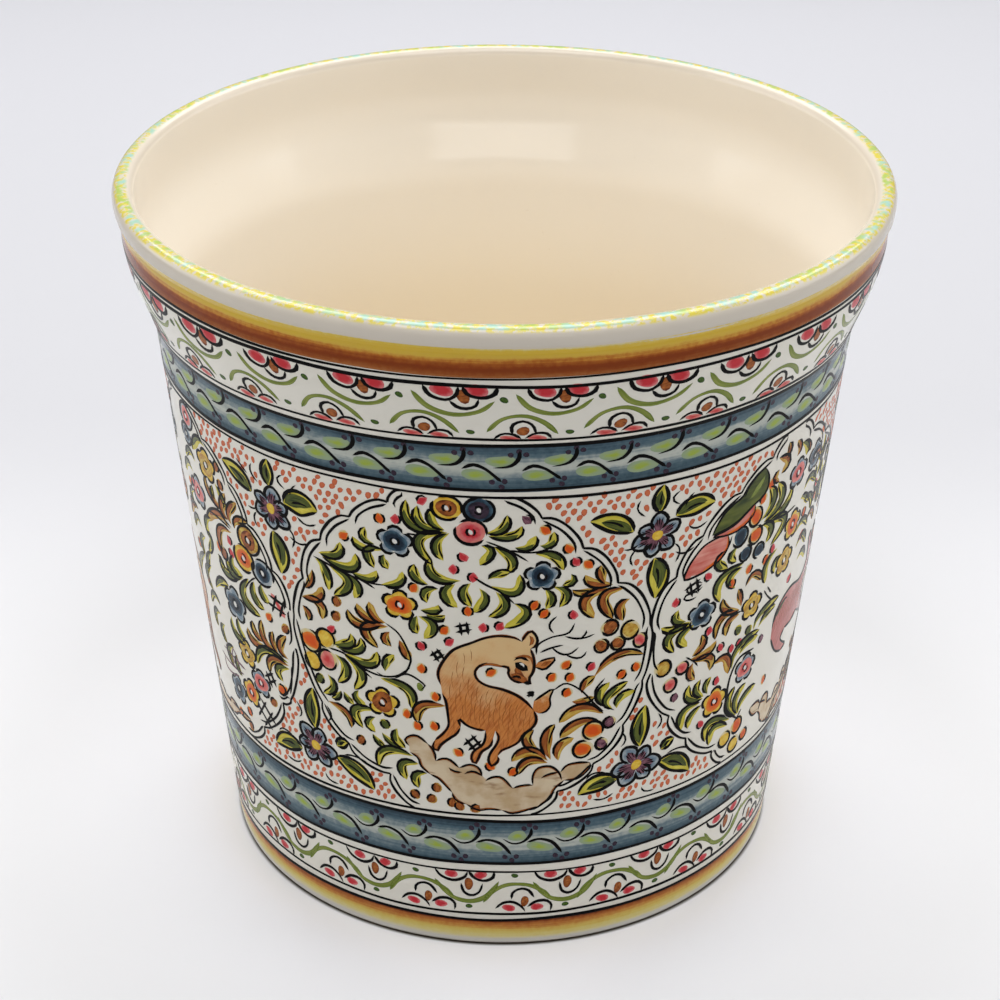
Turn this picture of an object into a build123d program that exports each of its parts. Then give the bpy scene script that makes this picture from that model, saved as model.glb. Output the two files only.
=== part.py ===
"""A round ceramic cachepot: a straight taper body, a soft shoulder, a collar and a rolled lip.

It is thrown as one piece of earthenware, so the whole object is one solid of revolution.
Units are millimetres, +Z is up, and the origin is the middle of the foot, on the table.
"""

from build123d import *
import os

# Overall sizes
rim_diameter = 240.0
pot_height = 229.0
base_diameter = 183.0

# Wall, floor and foot ring
wall_thickness = 5.0
floor_thickness = 7.0
foot_width = 9.0
foot_height = 2.5
foot_rounding = 1.0
base_rounding = 2.0
floor_rounding = 14.0

# Rolled lip, standing a little proud of the collar below it
lip_projection = 1.5
lip_height = 5.0
lip_run_out = 3.0
lip_blend = 4.0
lip_round_share = 0.45

# Collar, nearly upright, from the lip down to the shoulder
collar_drop = 20.5
collar_taper = 1.0
collar_blend = 50.0

# Shoulder, stepping in to the straight body
shoulder_height = 21.5
shoulder_step = 7.9
shoulder_blend = 36.0

# Radii of the outside, from the lip down
rim_radius = rim_diameter / 2
collar_top_radius = rim_radius - lip_projection
collar_foot_radius = collar_top_radius - collar_taper
body_top_radius = collar_foot_radius - shoulder_step
base_radius = base_diameter / 2

# Heights of the outside, from the lip down
lip_edge_z = pot_height - lip_height
collar_top_z = lip_edge_z - lip_run_out
collar_foot_z = pot_height - collar_drop
body_top_z = collar_foot_z - shoulder_height

# The inside keeps the wall's thickness, and its floor lies above the recess in the foot
floor_z = foot_height + floor_thickness
body_slope = (body_top_radius - base_radius) / body_top_z
floor_radius = base_radius + body_slope * floor_z - wall_thickness
foot_inner_radius = base_radius - foot_width
lip_thickness = lip_projection + wall_thickness
lip_rounding = lip_thickness * lip_round_share

# Corners of half the wall's section: radius, height and the rounding there
outside_corners = [
    (0, foot_height, 0),
    (foot_inner_radius, foot_height, foot_rounding),
    (foot_inner_radius, 0, foot_rounding),
    (base_radius, 0, base_rounding),
    (body_top_radius, body_top_z, shoulder_blend),
    (collar_foot_radius, collar_foot_z, collar_blend),
    (collar_top_radius, collar_top_z, lip_blend),
    (rim_radius, lip_edge_z, lip_blend),
    (rim_radius, pot_height, lip_rounding),
]
inside_corners = [
    (collar_top_radius - wall_thickness, pot_height, lip_rounding),
    (collar_foot_radius - wall_thickness, collar_foot_z, collar_blend - wall_thickness),
    (body_top_radius - wall_thickness, body_top_z, shoulder_blend + wall_thickness),
    (floor_radius, floor_z, floor_rounding),
    (0, floor_z, 0),
]
corners = outside_corners + inside_corners

# The pot, turned round its axis as on a wheel
with BuildPart() as pot:
    with BuildSketch(Plane.XZ) as wall_section:
        with BuildLine() as wall_outline:
            FilletPolyline(
                [(radius, height) for radius, height, rounding in corners],
                radius=[rounding for radius, height, rounding in corners],
                close=True,
            )
        make_face()
    revolve(axis=Axis.Z)
pot.part.label = "pot"

# One file for the one piece
os.makedirs("parts", exist_ok=True)
export_step(pot.part, "parts/pot.step")

print("volume in litres of clay", round(pot.part.volume / 1e6, 4))
print("size", pot.part.bounding_box().size)
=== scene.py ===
"""The looks of the painted cachepot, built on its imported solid.

The pot is turned on a wheel from the solid's own section. Its colours are brushed on as strokes:
each stroke is a closed sliver of paint, laid out flat on paper and then wrapped round the wall.
On paper, x runs the way round and y is the height, so a place on the pot is given as
degrees round from the front and millimetres below the rim.
"""

import math
import random

import bmesh
import bpy
from mathutils import Matrix, Vector
from mathutils.geometry import delaunay_2d_cdt


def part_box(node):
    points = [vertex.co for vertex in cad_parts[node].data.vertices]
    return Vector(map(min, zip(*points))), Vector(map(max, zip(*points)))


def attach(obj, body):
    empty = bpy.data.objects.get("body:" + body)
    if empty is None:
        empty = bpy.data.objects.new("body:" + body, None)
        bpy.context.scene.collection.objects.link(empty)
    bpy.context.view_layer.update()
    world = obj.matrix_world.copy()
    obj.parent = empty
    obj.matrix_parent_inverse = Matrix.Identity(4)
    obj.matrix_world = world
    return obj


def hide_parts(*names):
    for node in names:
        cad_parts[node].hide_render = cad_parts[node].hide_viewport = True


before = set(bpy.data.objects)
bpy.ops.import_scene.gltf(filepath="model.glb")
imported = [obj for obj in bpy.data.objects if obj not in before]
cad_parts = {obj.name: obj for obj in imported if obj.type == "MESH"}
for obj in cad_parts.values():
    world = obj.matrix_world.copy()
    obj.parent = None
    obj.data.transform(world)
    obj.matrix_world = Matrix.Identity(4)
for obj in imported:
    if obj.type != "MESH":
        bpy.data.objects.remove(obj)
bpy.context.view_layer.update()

MM = 0.001

# Sizes of the pot in millimetres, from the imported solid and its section
pot_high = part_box("pot")[1]
RIM_RADIUS = pot_high[0] / MM
POT_HEIGHT = pot_high[2] / MM
BASE_RADIUS = 91.5
WALL = 5.0
FLOOR_THICKNESS = 7.0
FOOT_WIDTH = 9.0
FOOT_HEIGHT = 2.5
LIP_PROJECTION = 1.5
LIP_HEIGHT = 5.0
LIP_RUN_OUT = 3.0
COLLAR_DROP = 20.5
COLLAR_TAPER = 1.0
SHOULDER_HEIGHT = 21.5
SHOULDER_STEP = 7.9
FOOT_ROUNDING = 1.0
BASE_ROUNDING = 2.0
BODY_ROUNDING = 36.0
SHOULDER_ROUNDING = 50.0
LIP_FOOT_ROUNDING = 4.0
LIP_ROUNDING_SHARE = 0.45
INSIDE_COLLAR_ROUNDING = 45.0
INSIDE_BODY_ROUNDING = 41.0
FLOOR_ROUNDING = 14.0

# How finely the pot is turned, and how uneven it comes off the wheel
TURN_AT_MOST = math.radians(9)
WIDE_ROUNDING = 20
WIDE_STEP = 1.3
LONGEST_RUN = 7.0
STEPS_ROUND = 480
UNEVENNESS = 0.0003
UNEVEN_GRAIN = 26.0
SAME_PLACE = 2e-6
LIP_TOP_IN = 3.2

# From how far out in metres, beyond the wall, paint is laid on it
OUTSIDE = 0.2

# Paper: a degree round the pot is this many millimetres at the radius the painter works to
PAINTED_RADIUS = 102.0
WAY = math.radians(PAINTED_RADIUS)

# How high each coat of paint lies over the glaze, in millimetres
UNDER, WASH, FILL, SHADE, TOUCH, LINE = 0.02, 0.035, 0.05, 0.065, 0.08, 0.1
SUNK = 0.04

# How much heavier the black lines are drawn than their widths say
BLACKS_HEAVIER = 1.2

# The panels' middle and foot, in millimetres below the rim
PANEL_MIDDLE, PANEL_FOOT = 115, 174.0

# The UVs of a sheet are in squares, one for each stroke. Those of a band are in strips, one for each arc.
STROKE_CELLS = 4
CELL = (STROKE_CELLS, STROKE_CELLS, 1)
CELL_EDGE, CELL_SHARE = 0.04, 0.92
ARCS = 12
STRIP_EDGE, STRIP_SHARE = 0.08, 0.84


# The pot's section

def rounded(corners):
    """Points along an outline whose corners, as (radius, height, rounding), are rounded off."""
    points = [corners[0][:2]]
    for before, corner, after in zip(corners, corners[1:], corners[2:]):
        rounding = corner[2]
        if rounding == 0:
            points.append(corner[:2])
            continue
        here = Vector(corner[:2])
        back = (Vector(before[:2]) - here).normalized()
        on = (Vector(after[:2]) - here).normalized()
        half = back.angle(on) / 2
        reach = rounding / math.tan(half)
        centre = here + (back + on).normalized() * rounding / math.sin(half)
        start = here + back * reach - centre
        turn = math.pi - 2 * half
        if start.cross(on) < 0:
            turn = -turn
        count = max(3, math.ceil(abs(turn) / TURN_AT_MOST))
        if rounding > WIDE_ROUNDING:
            count = max(count, math.ceil(abs(turn) * rounding / WIDE_STEP))
        for i in range(count + 1):
            points.append(tuple(centre + Matrix.Rotation(turn * i / count, 2) @ start))
    points.append(corners[-1][:2])
    return points


def spaced(points, longest):
    """The same line with no run longer than this."""
    line = [Vector(points[0])]
    for point in points[1:]:
        start, end = line[-1], Vector(point)
        count = max(1, math.ceil((end - start).length / longest))
        line += [start.lerp(end, (i + 1) / count) for i in range(count)]
    return line


def pot_section():
    """Half the wall's section, from the middle underneath, up the outside and down the inside."""
    lip_edge = POT_HEIGHT - LIP_HEIGHT
    collar_radius = RIM_RADIUS - LIP_PROJECTION
    collar_foot = (collar_radius - COLLAR_TAPER, POT_HEIGHT - COLLAR_DROP)
    body_top = (collar_foot[0] - SHOULDER_STEP, collar_foot[1] - SHOULDER_HEIGHT)
    foot_inner = BASE_RADIUS - FOOT_WIDTH
    floor_z = FOOT_HEIGHT + FLOOR_THICKNESS
    floor_radius = BASE_RADIUS + (body_top[0] - BASE_RADIUS) * floor_z / body_top[1] - WALL
    lip_rounding = (LIP_PROJECTION + WALL) * LIP_ROUNDING_SHARE
    outside = [
        (0, FOOT_HEIGHT, 0),
        (foot_inner, FOOT_HEIGHT, FOOT_ROUNDING),
        (foot_inner, 0, FOOT_ROUNDING),
        (BASE_RADIUS, 0, BASE_ROUNDING),
        (*body_top, BODY_ROUNDING),
        (*collar_foot, SHOULDER_ROUNDING),
        (collar_radius, lip_edge - LIP_RUN_OUT, LIP_FOOT_ROUNDING),
        (RIM_RADIUS, lip_edge, LIP_FOOT_ROUNDING),
        (RIM_RADIUS, POT_HEIGHT, lip_rounding),
    ]
    inside = [
        (collar_radius - WALL, POT_HEIGHT, lip_rounding),
        (collar_foot[0] - WALL, collar_foot[1], INSIDE_COLLAR_ROUNDING),
        (body_top[0] - WALL, body_top[1], INSIDE_BODY_ROUNDING),
        (floor_radius, floor_z, FLOOR_ROUNDING),
        (0, floor_z, 0),
    ]
    return spaced(rounded(outside + inside), LONGEST_RUN)


# Node trees: nodes made, set and joined in one go

def linear(colour):
    """A colour given as it looks on screen, from 0 to 255."""
    shares = [c / 255 for c in colour]
    return [c / 12.92 if c <= 0.04045 else ((c + 0.055) / 1.055) ** 2.4 for c in shares] + [1.0]


class Nodes:
    """A node tree being built. Each method gives the output of the node that it makes."""

    def __init__(self, tree):
        self.tree = tree

    def fill(self, node, inputs):
        """Joins or fills a node's inputs, by name or number."""
        for key, value in inputs.items():
            if isinstance(value, bpy.types.NodeSocket):
                self.tree.links.new(value, node.inputs[key])
            else:
                node.inputs[key].default_value = value

    def node(self, kind, inputs=None, output=0, **settings):
        made = self.tree.nodes.new(kind)
        for key, value in settings.items():
            setattr(made, key, value)
        self.fill(made, inputs or {})
        return made.outputs[output]

    def math(self, operation, *values):
        return self.node("ShaderNodeMath", dict(enumerate(values)), operation=operation)

    def times(self, first, second):
        return self.math("MULTIPLY", first, second)

    def vectors(self, operation, *values, output=0):
        return self.node("ShaderNodeVectorMath", dict(enumerate(values)), output, operation=operation)

    def scaled(self, vector, scale):
        return self.node("ShaderNodeVectorMath", {0: vector, "Scale": scale}, operation="SCALE")

    def vector(self, x, y, z):
        return self.node("ShaderNodeCombineXYZ", {0: x, 1: y, 2: z})

    def parts(self, vector):
        """A vector's three parts."""
        return self.node("ShaderNodeSeparateXYZ", {0: vector}).node.outputs

    def noise(self, place, scale, detail, **more):
        return self.node("ShaderNodeTexNoise", {"Vector": place, "Scale": scale, "Detail": detail, **more})

    def around(self, noise, size, value=0.0):
        """A value pushed up and down by a noise, by up to half of size."""
        return self.math("MULTIPLY_ADD", self.math("SUBTRACT", noise, 0.5), size, value)

    def ramp(self, value, low, high):
        """0 below low, 1 above high, and smooth between."""
        ends = {"Value": value, "From Min": low, "From Max": high}
        return self.node("ShaderNodeMapRange", ends, interpolation_type="SMOOTHSTEP")

    def mix(self, share, first, second):
        """One colour going over into another. A tuple is as it looks on screen, a list is linear."""
        first, second = (linear(c) if isinstance(c, tuple) else c for c in (first, second))
        return self.node("ShaderNodeMix", {0: share, 6: first, 7: second}, 2, data_type="RGBA")


class Group(Nodes):
    """A node group being built, with inputs and one output given as name and kind."""

    def __init__(self, name, tree_kind, inputs, output):
        super().__init__(bpy.data.node_groups.new(name, tree_kind))
        sockets = [(*socket, "INPUT") for socket in inputs] + [(*output, "OUTPUT")]
        for label, kind, side in sockets:
            self.tree.interface.new_socket(label, in_out=side, socket_type="NodeSocket" + kind)
        source = self.tree.nodes.new("NodeGroupInput")
        self.inputs = [source.outputs[label] for label, kind in inputs]

    def finish(self, result):
        self.fill(self.tree.nodes.new("NodeGroupOutput"), {0: result})
        return self.tree


class Growing(Group):
    """A Geometry Nodes group being built, which takes geometry before its other inputs."""

    def __init__(self, name, *inputs):
        geometry = ("Geometry", "Geometry")
        super().__init__(name, "GeometryNodeTree", (geometry, *inputs), geometry)
        self.tree.is_modifier = True

    def position(self):
        return self.node("GeometryNodeInputPosition")

    def named(self, name, kind):
        return self.node("GeometryNodeInputNamedAttribute", {"Name": name}, data_type=kind)

    def stored(self, geometry, name, value, kind, domain="POINT"):
        values = {"Geometry": geometry, "Name": name, "Value": value}
        return self.node("GeometryNodeStoreNamedAttribute", values, data_type=kind, domain=domain)

    def shape_of(self, thing):
        return self.node("GeometryNodeObjectInfo", {0: thing}, "Geometry", transform_space="ORIGINAL")

    def put(self, geometry, inputs):
        return self.node("GeometryNodeSetPosition", {"Geometry": geometry, **inputs})

    def chance(self, low, high, seed):
        values = {2: low, 3: high, "Seed": seed}
        return self.node("FunctionNodeRandomValue", values, 1, data_type="FLOAT")

    def chance_vector(self, low, high, seed):
        values = {0: low, 1: high, "Seed": seed}
        return self.node("FunctionNodeRandomValue", values, data_type="FLOAT_VECTOR")

    def covered(self, geometry, material):
        return self.node("GeometryNodeSetMaterial", {"Geometry": geometry, "Material": material})


def placed(name, data):
    """A new object in the scene."""
    made = bpy.data.objects.new(name, data)
    bpy.context.scene.collection.objects.link(made)
    return made


def grown(mesh, name, tree, values):
    """Runs a tree on a mesh and gives the result as a plain piece with no modifier."""
    piece = placed(name, mesh)
    modifier = piece.modifiers.new(tree.name, "NODES")
    modifier.node_group = tree
    for item in tree.interface.items_tree:
        if item.in_out == "INPUT" and item.name in values:
            modifier[item.identifier] = values[item.name]
    graph = bpy.context.evaluated_depsgraph_get()
    made = bpy.data.meshes.new_from_object(piece.evaluated_get(graph), depsgraph=graph)
    piece.modifiers.clear()
    made.name = name
    piece.data = made
    bpy.data.meshes.remove(mesh)
    return piece


# The pot, turned on the wheel

def wheel_tree():
    """Turns a section round the pot's axis, with the faint unevenness of a hand-finished wall."""
    inputs = (("Steps round", "Int"), ("Unevenness", "Float"), ("Glaze", "Material"))
    tree = Growing("turned_on_the_wheel", *inputs)
    section, steps, uneven, glaze = tree.inputs
    rows = tree.node("GeometryNodeAttributeDomainSize", {0: section}, "Point Count")
    counts = {"Size X": 1.0, "Size Y": 1.0, "Vertices X": tree.math("ADD", steps, 1.0), "Vertices Y": rows}
    grid = tree.node("GeometryNodeMeshGrid", counts, "Mesh")
    place = tree.parts(tree.position())
    turn = tree.times(tree.math("ADD", place["X"], 0.5), math.tau)
    row = tree.times(tree.math("ADD", place["Y"], 0.5), tree.math("SUBTRACT", rows, 1.0))
    row = tree.node("FunctionNodeFloatToInt", {0: row}, rounding_mode="ROUND")

    def at_row(value, kind):
        values = {"Geometry": section, "Value": value, "Index": row}
        return tree.node("GeometryNodeSampleIndex", values, data_type=kind)

    on = tree.parts(at_row(tree.position(), "FLOAT_VECTOR"))
    lip = at_row(tree.named("from_lip", "FLOAT"), "FLOAT")
    across = tree.math("SINE", turn)
    ahead = tree.times(tree.math("COSINE", turn), -1.0)
    flat = tree.vector(tree.times(on["X"], across), tree.times(on["X"], ahead), on["Z"])
    push = tree.around(tree.noise(flat, UNEVEN_GRAIN, 1.0), uneven)
    push = tree.times(push, tree.math("MINIMUM", tree.times(on["X"], 40.0), 1.0))
    moved = tree.vectors("ADD", flat, tree.scaled(tree.vector(across, ahead, 0.0), push))
    mesh = tree.stored(grid, "OFBake", grid.node.outputs["UV Map"], "FLOAT2", "CORNER")
    mesh = tree.put(tree.stored(mesh, "from_lip", lip, "FLOAT"), {"Position": moved})
    mesh = tree.node("GeometryNodeMergeByDistance", {"Geometry": mesh, "Distance": SAME_PLACE})
    mesh = tree.node("GeometryNodeSetShadeSmooth", {"Geometry": mesh})
    return tree.finish(tree.covered(mesh, glaze))


def turned_pot(glaze):
    section = pot_section()
    tops = [(point.y, -abs(point.x - RIM_RADIUS + LIP_TOP_IN)) for point in section]
    lip = tops.index(max(tops))
    lengths = lengths_along(section)
    mesh = bpy.data.meshes.new("section")
    edges = [(i, i + 1) for i in range(len(section) - 1)]
    mesh.from_pydata([(p.x * MM, 0, p.y * MM) for p in section], edges, [])
    mark = mesh.attributes.new("from_lip", "FLOAT", "POINT")
    for item, length in zip(mark.data, lengths):
        item.value = (length - lengths[lip]) * MM
    values = {"Steps round": STEPS_ROUND, "Unevenness": UNEVENNESS, "Glaze": glaze}
    return grown(mesh, "glazed_pot", wheel_tree(), values)


# Paper: flat slivers of paint, in millimetres

def at(way, down):
    """The place on paper of a point so many degrees round and so many millimetres below the rim."""
    return Vector((way * WAY, POT_HEIGHT - down))


def on_paper(points):
    return [at(*p) for p in points]


def towards(angle):
    return Vector((math.cos(angle), math.sin(angle)))


def left_of(along):
    return Vector((-along.y, along.x))


def lengths_along(points):
    """How far each point is along the line through them."""
    lengths = [0.0]
    for before, after in zip(points, points[1:]):
        lengths.append(lengths[-1] + (after - before).length)
    return lengths


def eased(points, count):
    """An even run of count + 1 points along a smooth curve through the given ones."""
    if len(points) == 2:
        return [points[0].lerp(points[1], i / count) for i in range(count + 1)]
    if len(points) == 3:
        a, b, c = points
        pull = 2 * b - (a + c) / 2
        points = [a, a * 0.5625 + pull * 0.375 + c * 0.0625, b, a * 0.0625 + pull * 0.375 + c * 0.5625, c]
    ends = [2 * points[0] - points[1]] + list(points) + [2 * points[-1] - points[-2]]
    fine = []
    for a, b, c, d in zip(ends, ends[1:], ends[2:], ends[3:]):
        for i in range(12):
            t = i / 12
            fine.append(((2 * b) + (c - a) * t + (2 * a - 5 * b + 4 * c - d) * t * t
                         + (3 * b - a - 3 * c + d) * t * t * t) / 2)
    fine.append(Vector(points[-1]))
    lengths = lengths_along(fine)
    run = []
    place = 0
    for i in range(count + 1):
        wanted = lengths[-1] * i / count
        while place < len(fine) - 2 and lengths[place + 1] < wanted:
            place += 1
        span = lengths[place + 1] - lengths[place]
        run.append(fine[place].lerp(fine[place + 1], (wanted - lengths[place]) / span if span else 0))
    return run


def swelling(shape, t):
    """How wide a brush stroke is at t along it, from 0 to 1."""
    if shape == "leaf":
        return max(0.0, math.sin(math.pi * t ** 1.3)) ** 0.6
    if shape == "almond":
        return max(0.0, math.sin(math.pi * t ** 0.92)) ** 0.8
    if shape == "comma":
        return max(0.0, min(1.0, t / 0.15)) ** 0.5 * (1 - t) ** 0.55
    if shape == "rope":
        return 0.75 + 0.25 * math.sin(math.pi * t)
    return max(0.0, min(1.0, t / 0.1, (1 - t) / 0.14)) ** 0.5


def inside(spot, outline):
    """Whether a spot is within a closed outline."""
    within = False
    for a, b in zip(outline, outline[1:] + outline[:1]):
        if (a.y > spot.y) != (b.y > spot.y) and spot.x < (b.x - a.x) * (spot.y - a.y) / (b.y - a.y) + a.x:
            within = not within
    return within


class Sheet:
    """One sheet of paper with closed slivers of one paint on it."""

    def __init__(self, name, seed=1):
        self.name = name
        self.chance = random.Random(seed)
        self.points = []
        self.faces = []
        self.marks = []
        self.raised = 0.0
        self.heavy = BLACKS_HEAVIER if name == "blacks" else 1.0

    def add_points(self, points, lift):
        """Puts points on top and again under the glaze, and gives the number of the first."""
        start = len(self.points)
        self.points += [(p[0], p[1], height) for height in (lift, -SUNK) for p in points]
        return start

    def add_face(self, start, corners, marks):
        """A face whose corners are counted from start, with their UVs."""
        self.faces.append([start + i for i in corners])
        self.marks += marks

    def sliver(self, points, faces, marks, lift):
        """Gives a flat patch a top, a sunk underside and walls. Marks are the points' UVs."""
        self.raised = (self.raised + 0.00037) % 0.008
        start = self.add_points(points, lift + self.raised)
        count = len(points)
        edges = set()
        for face in faces:
            edges.update(zip(face, face[1:] + face[:1]))
            self.add_face(start, face, [marks[i] for i in face])
            self.add_face(start + count, face[::-1], [marks[i] for i in face[::-1]])
        for a, b in sorted(edges):
            if (b, a) not in edges:
                self.add_face(start, (b, a, a + count, b + count), [marks[b], marks[a], marks[a], marks[b]])

    def cell(self):
        """A place for one stroke's UVs among the sheet's squares."""
        corner = [self.chance.randrange(STROKE_CELLS) + CELL_EDGE for _ in range(2)]
        return lambda *uv: [(low + CELL_SHARE * share) / STROKE_CELLS for low, share in zip(corner, uv)]

    def ribbon(self, line, widths, lift):
        """A band of the given full widths along a line, pointed where the width is nothing."""
        cell = self.cell()
        last = len(line) - 1
        points, marks, rows = [], [], []
        shares = (1, 0, -1) if max(widths) > 2.2 else (1, -1)
        for i, (place, width) in enumerate(zip(line, widths)):
            along = (line[min(i + 1, last)] - line[max(i - 1, 0)]).normalized()
            left = left_of(along) * width / 2
            row = shares if width >= 0.05 else (0,)
            rows.append([len(points) + k for k in range(len(row))])
            for share in row:
                points.append(place + left * share if len(row) > 1 else place)
                marks.append(cell(i / last, 0.5 + share / 2))
        faces = []
        for first, second in zip(rows, rows[1:]):
            if len(first) == 1 and len(second) == 1:
                continue
            if len(first) == 1:
                faces += [[first[0], b, a] for a, b in zip(second, second[1:])]
            elif len(second) == 1:
                faces += [[a, b, second[0]] for a, b in zip(first, first[1:])]
            else:
                faces += [[a, b, d, c] for a, b, c, d in zip(first, first[1:], second, second[1:])]
        if faces:
            self.sliver(points, faces, marks, lift)

    def stroke(self, points, width, lift=LINE, shape="line", aside=0.0, part=(0.0, 1.0), body="leaf"):
        """A brush stroke through points on paper. Aside shifts it to the left along the side of a body."""
        count = max(4, min(48, round(lengths_along(points)[-1] / 1.25)))
        line = eased(points, count)
        if aside:
            moved = []
            for i, place in enumerate(line):
                along = (line[min(i + 1, count)] - line[max(i - 1, 0)]).normalized()
                swell = max(0.06, swelling(body, i / count))
                moved.append(place + left_of(along) * aside * swell)
            line = moved
        if part != (0.0, 1.0):
            line = eased(line, count * 2)[round(part[0] * count * 2):round(part[1] * count * 2) + 1:2]
            count = len(line) - 1
            if count < 2:
                return
        beat = self.chance.uniform(0, 6)
        widths = []
        for i in range(count + 1):
            t = i / count
            waver = 1 + 0.13 * math.sin(beat + 7 * t) + self.chance.uniform(-0.05, 0.05)
            widths.append(self.heavy * width * swelling(shape, t) * waver)
        self.ribbon(line, widths, lift)

    def blob(self, place, wide, high, lift=FILL, turn=0.0, rough=0.07):
        """An oval dab, a little uneven, wide by high millimetres across."""
        cell = self.cell()
        size = max(wide, high)
        count = 8 if size < 2.2 else 12 if size < 5 else 18
        phases = [self.chance.uniform(0, math.tau) for _ in range(3)]
        rings = (1.0,) if size < 3.5 else (0.5, 1.0)
        rotate = Matrix.Rotation(math.radians(turn), 2)
        points, marks, faces = [place], [cell(0.5, 0.5)], []
        for ring in rings:
            for i in range(count):
                angle = math.tau * i / count
                uneven = 1 + rough * (math.sin(2 * angle + phases[0]) + 0.6 * math.sin(3 * angle + phases[1]))
                spot = Vector((math.cos(angle) * wide / 2, math.sin(angle) * high / 2)) * ring * uneven
                points.append(place + rotate @ spot)
                marks.append(cell(0.5 + 0.5 * ring * math.cos(angle), 0.5 + 0.5 * ring * math.sin(angle)))
        for i in range(count):
            j = (i + 1) % count
            faces.append([0, 1 + i, 1 + j])
            if len(rings) == 2:
                faces.append([1 + i, 1 + count + i, 1 + count + j, 1 + j])
        self.sliver(points, faces, marks, lift)

    def fill(self, outline, lift=FILL, whole=False):
        """A filled shape. Its UVs lie flat over its own bounds, on the whole sheet or in one square of it."""
        grain = 2.4
        low = Vector((min(p.x for p in outline), min(p.y for p in outline)))
        high = Vector((max(p.x for p in outline), max(p.y for p in outline)))
        spots = list(outline)
        for i in range(1, int((high.x - low.x) / grain) + 1):
            for j in range(1, int((high.y - low.y) / grain) + 1):
                shift = grain * 0.5 * (j % 2)
                spot = Vector((low.x + i * grain - shift, low.y + j * grain))
                if inside(spot, outline) and min((spot - p).length for p in outline) > grain * 0.45:
                    spots.append(spot)
        count = len(outline)
        edges = [(i, (i + 1) % count) for i in range(count)]
        flat, _, faces, _, _, _ = delaunay_2d_cdt(spots, edges, [list(range(count))], 1, 1e-5)
        size = max(high - low)
        spread = (lambda u, v: (u * 0.96 + 0.02, v * 0.96 + 0.02)) if whole else self.cell()
        marks = [spread((p.x - low.x) / size, (p.y - low.y) / size) for p in flat]
        turned = []
        for face in faces:
            a, b, c = (flat[i] for i in face[:3])
            turned.append(list(face) if (b - a).cross(c - a) > 0 else list(reversed(face)))
        self.sliver(flat, turned, marks, lift)

    def mesh(self):
        """The sheet as a flat mesh in metres."""
        mesh = bpy.data.meshes.new(self.name)
        mesh.from_pydata([(x * MM, y * MM, z * MM) for x, y, z in self.points], [], self.faces)
        layer = mesh.uv_layers.new(name="OFBake")
        for item, mark in zip(layer.data, self.marks):
            item.uv = mark
        return mesh


# Repeating a sheet and wrapping it round the pot

def repeat_tree():
    """Copies a motif along the paper, each copy tilted, sized and shifted a little by chance."""
    lengths = [(name, "Float") for name in ("Step", "Start", "Height", "Shift", "Tilt", "Size")]
    tree = Growing("repeated_by_hand", ("Copies", "Int"), *lengths, ("Seed", "Int"))
    motif, copies, step, start, height, shift, tilt, size, seed = tree.inputs
    places = {"Start Location": tree.vector(start, 0.0, 0.0), "Offset": tree.vector(step, 0.0, 0.0)}
    line = tree.node("GeometryNodeMeshLine", {"Count": copies, **places})
    stray = tree.chance_vector(tree.vector(-1.0, -0.6, 0.0), tree.vector(1.0, 0.6, 0.0), seed)
    stray = tree.vectors("ADD", tree.scaled(stray, shift), tree.vector(0.0, height, 0.0))
    down = tree.vector(0.0, tree.times(height, -1.0), 0.0)
    motif = tree.node("GeometryNodeTransform", {"Geometry": motif, "Translation": down})
    turn = tree.chance(tree.times(tilt, -1.0), tilt, tree.math("ADD", seed, 3.0))
    sizes = tree.math("SUBTRACT", 1.0, size), tree.math("ADD", 1.0, size)
    grow = tree.chance(*sizes, tree.math("ADD", seed, 9.0))
    places = {"Points": tree.put(line, {"Offset": stray}), "Scale": tree.vector(grow, grow, 1.0)}
    set_out = tree.node("GeometryNodeInstanceOnPoints", {"Instance": motif, **places})
    turned = {"Instances": set_out, "Rotation": tree.vector(0.0, 0.0, turn)}
    set_out = tree.node("GeometryNodeRotateInstances", turned)
    return tree.finish(tree.node("GeometryNodeRealizeInstances", {0: set_out}))


def wrap_tree():
    """Wraps flat paint round the pot: each point goes to the wall straight in from outside."""
    tree = Growing("wrapped_round_the_pot", ("Pot", "Object"), ("Radius", "Float"), ("Paint", "Material"))
    sheet, wall, radius, paint = tree.inputs
    normal = tree.node("GeometryNodeInputNormal")
    wall = tree.stored(tree.shape_of(wall), "wall_normal", normal, "FLOAT_VECTOR")
    flat = tree.parts(tree.position())
    turn = tree.math("DIVIDE", flat["X"], radius)
    ahead = tree.vector(tree.math("SINE", turn), tree.times(tree.math("COSINE", turn), -1.0), 0.0)
    begin = tree.vectors("ADD", tree.scaled(ahead, OUTSIDE), tree.vector(0.0, 0.0, flat["Y"]))
    ray = {"Target Geometry": wall, "Attribute": tree.named("wall_normal", "FLOAT_VECTOR"),
           "Source Position": begin, "Ray Direction": tree.scaled(ahead, -1.0), "Ray Length": OUTSIDE}
    hit = tree.node("GeometryNodeRaycast", ray, "Hit Position", data_type="FLOAT_VECTOR")
    outward = tree.vectors("NORMALIZE", hit.node.outputs["Attribute"])
    place = tree.vectors("ADD", hit, tree.scaled(outward, flat["Z"]))
    sheet = tree.put(tree.stored(sheet, "wall_way", outward, "FLOAT_VECTOR"), {"Position": place})
    shading = {"Mesh": sheet, "Custom Normal": tree.named("wall_way", "FLOAT_VECTOR")}
    sheet = tree.node("GeometryNodeSetMeshNormal", shading, mode="FREE", domain="POINT")
    sheet = tree.node("GeometryNodeRemoveAttribute", {"Geometry": sheet, "Name": "wall_way"})
    return tree.finish(tree.covered(sheet, paint))


REPEAT = repeat_tree()
WRAP = wrap_tree()
sheets = {}


def put_by(name, piece):
    """Keeps a sheet for wrapping."""
    sheets.setdefault(name, []).append(piece.data)
    bpy.data.objects.remove(piece)


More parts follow.
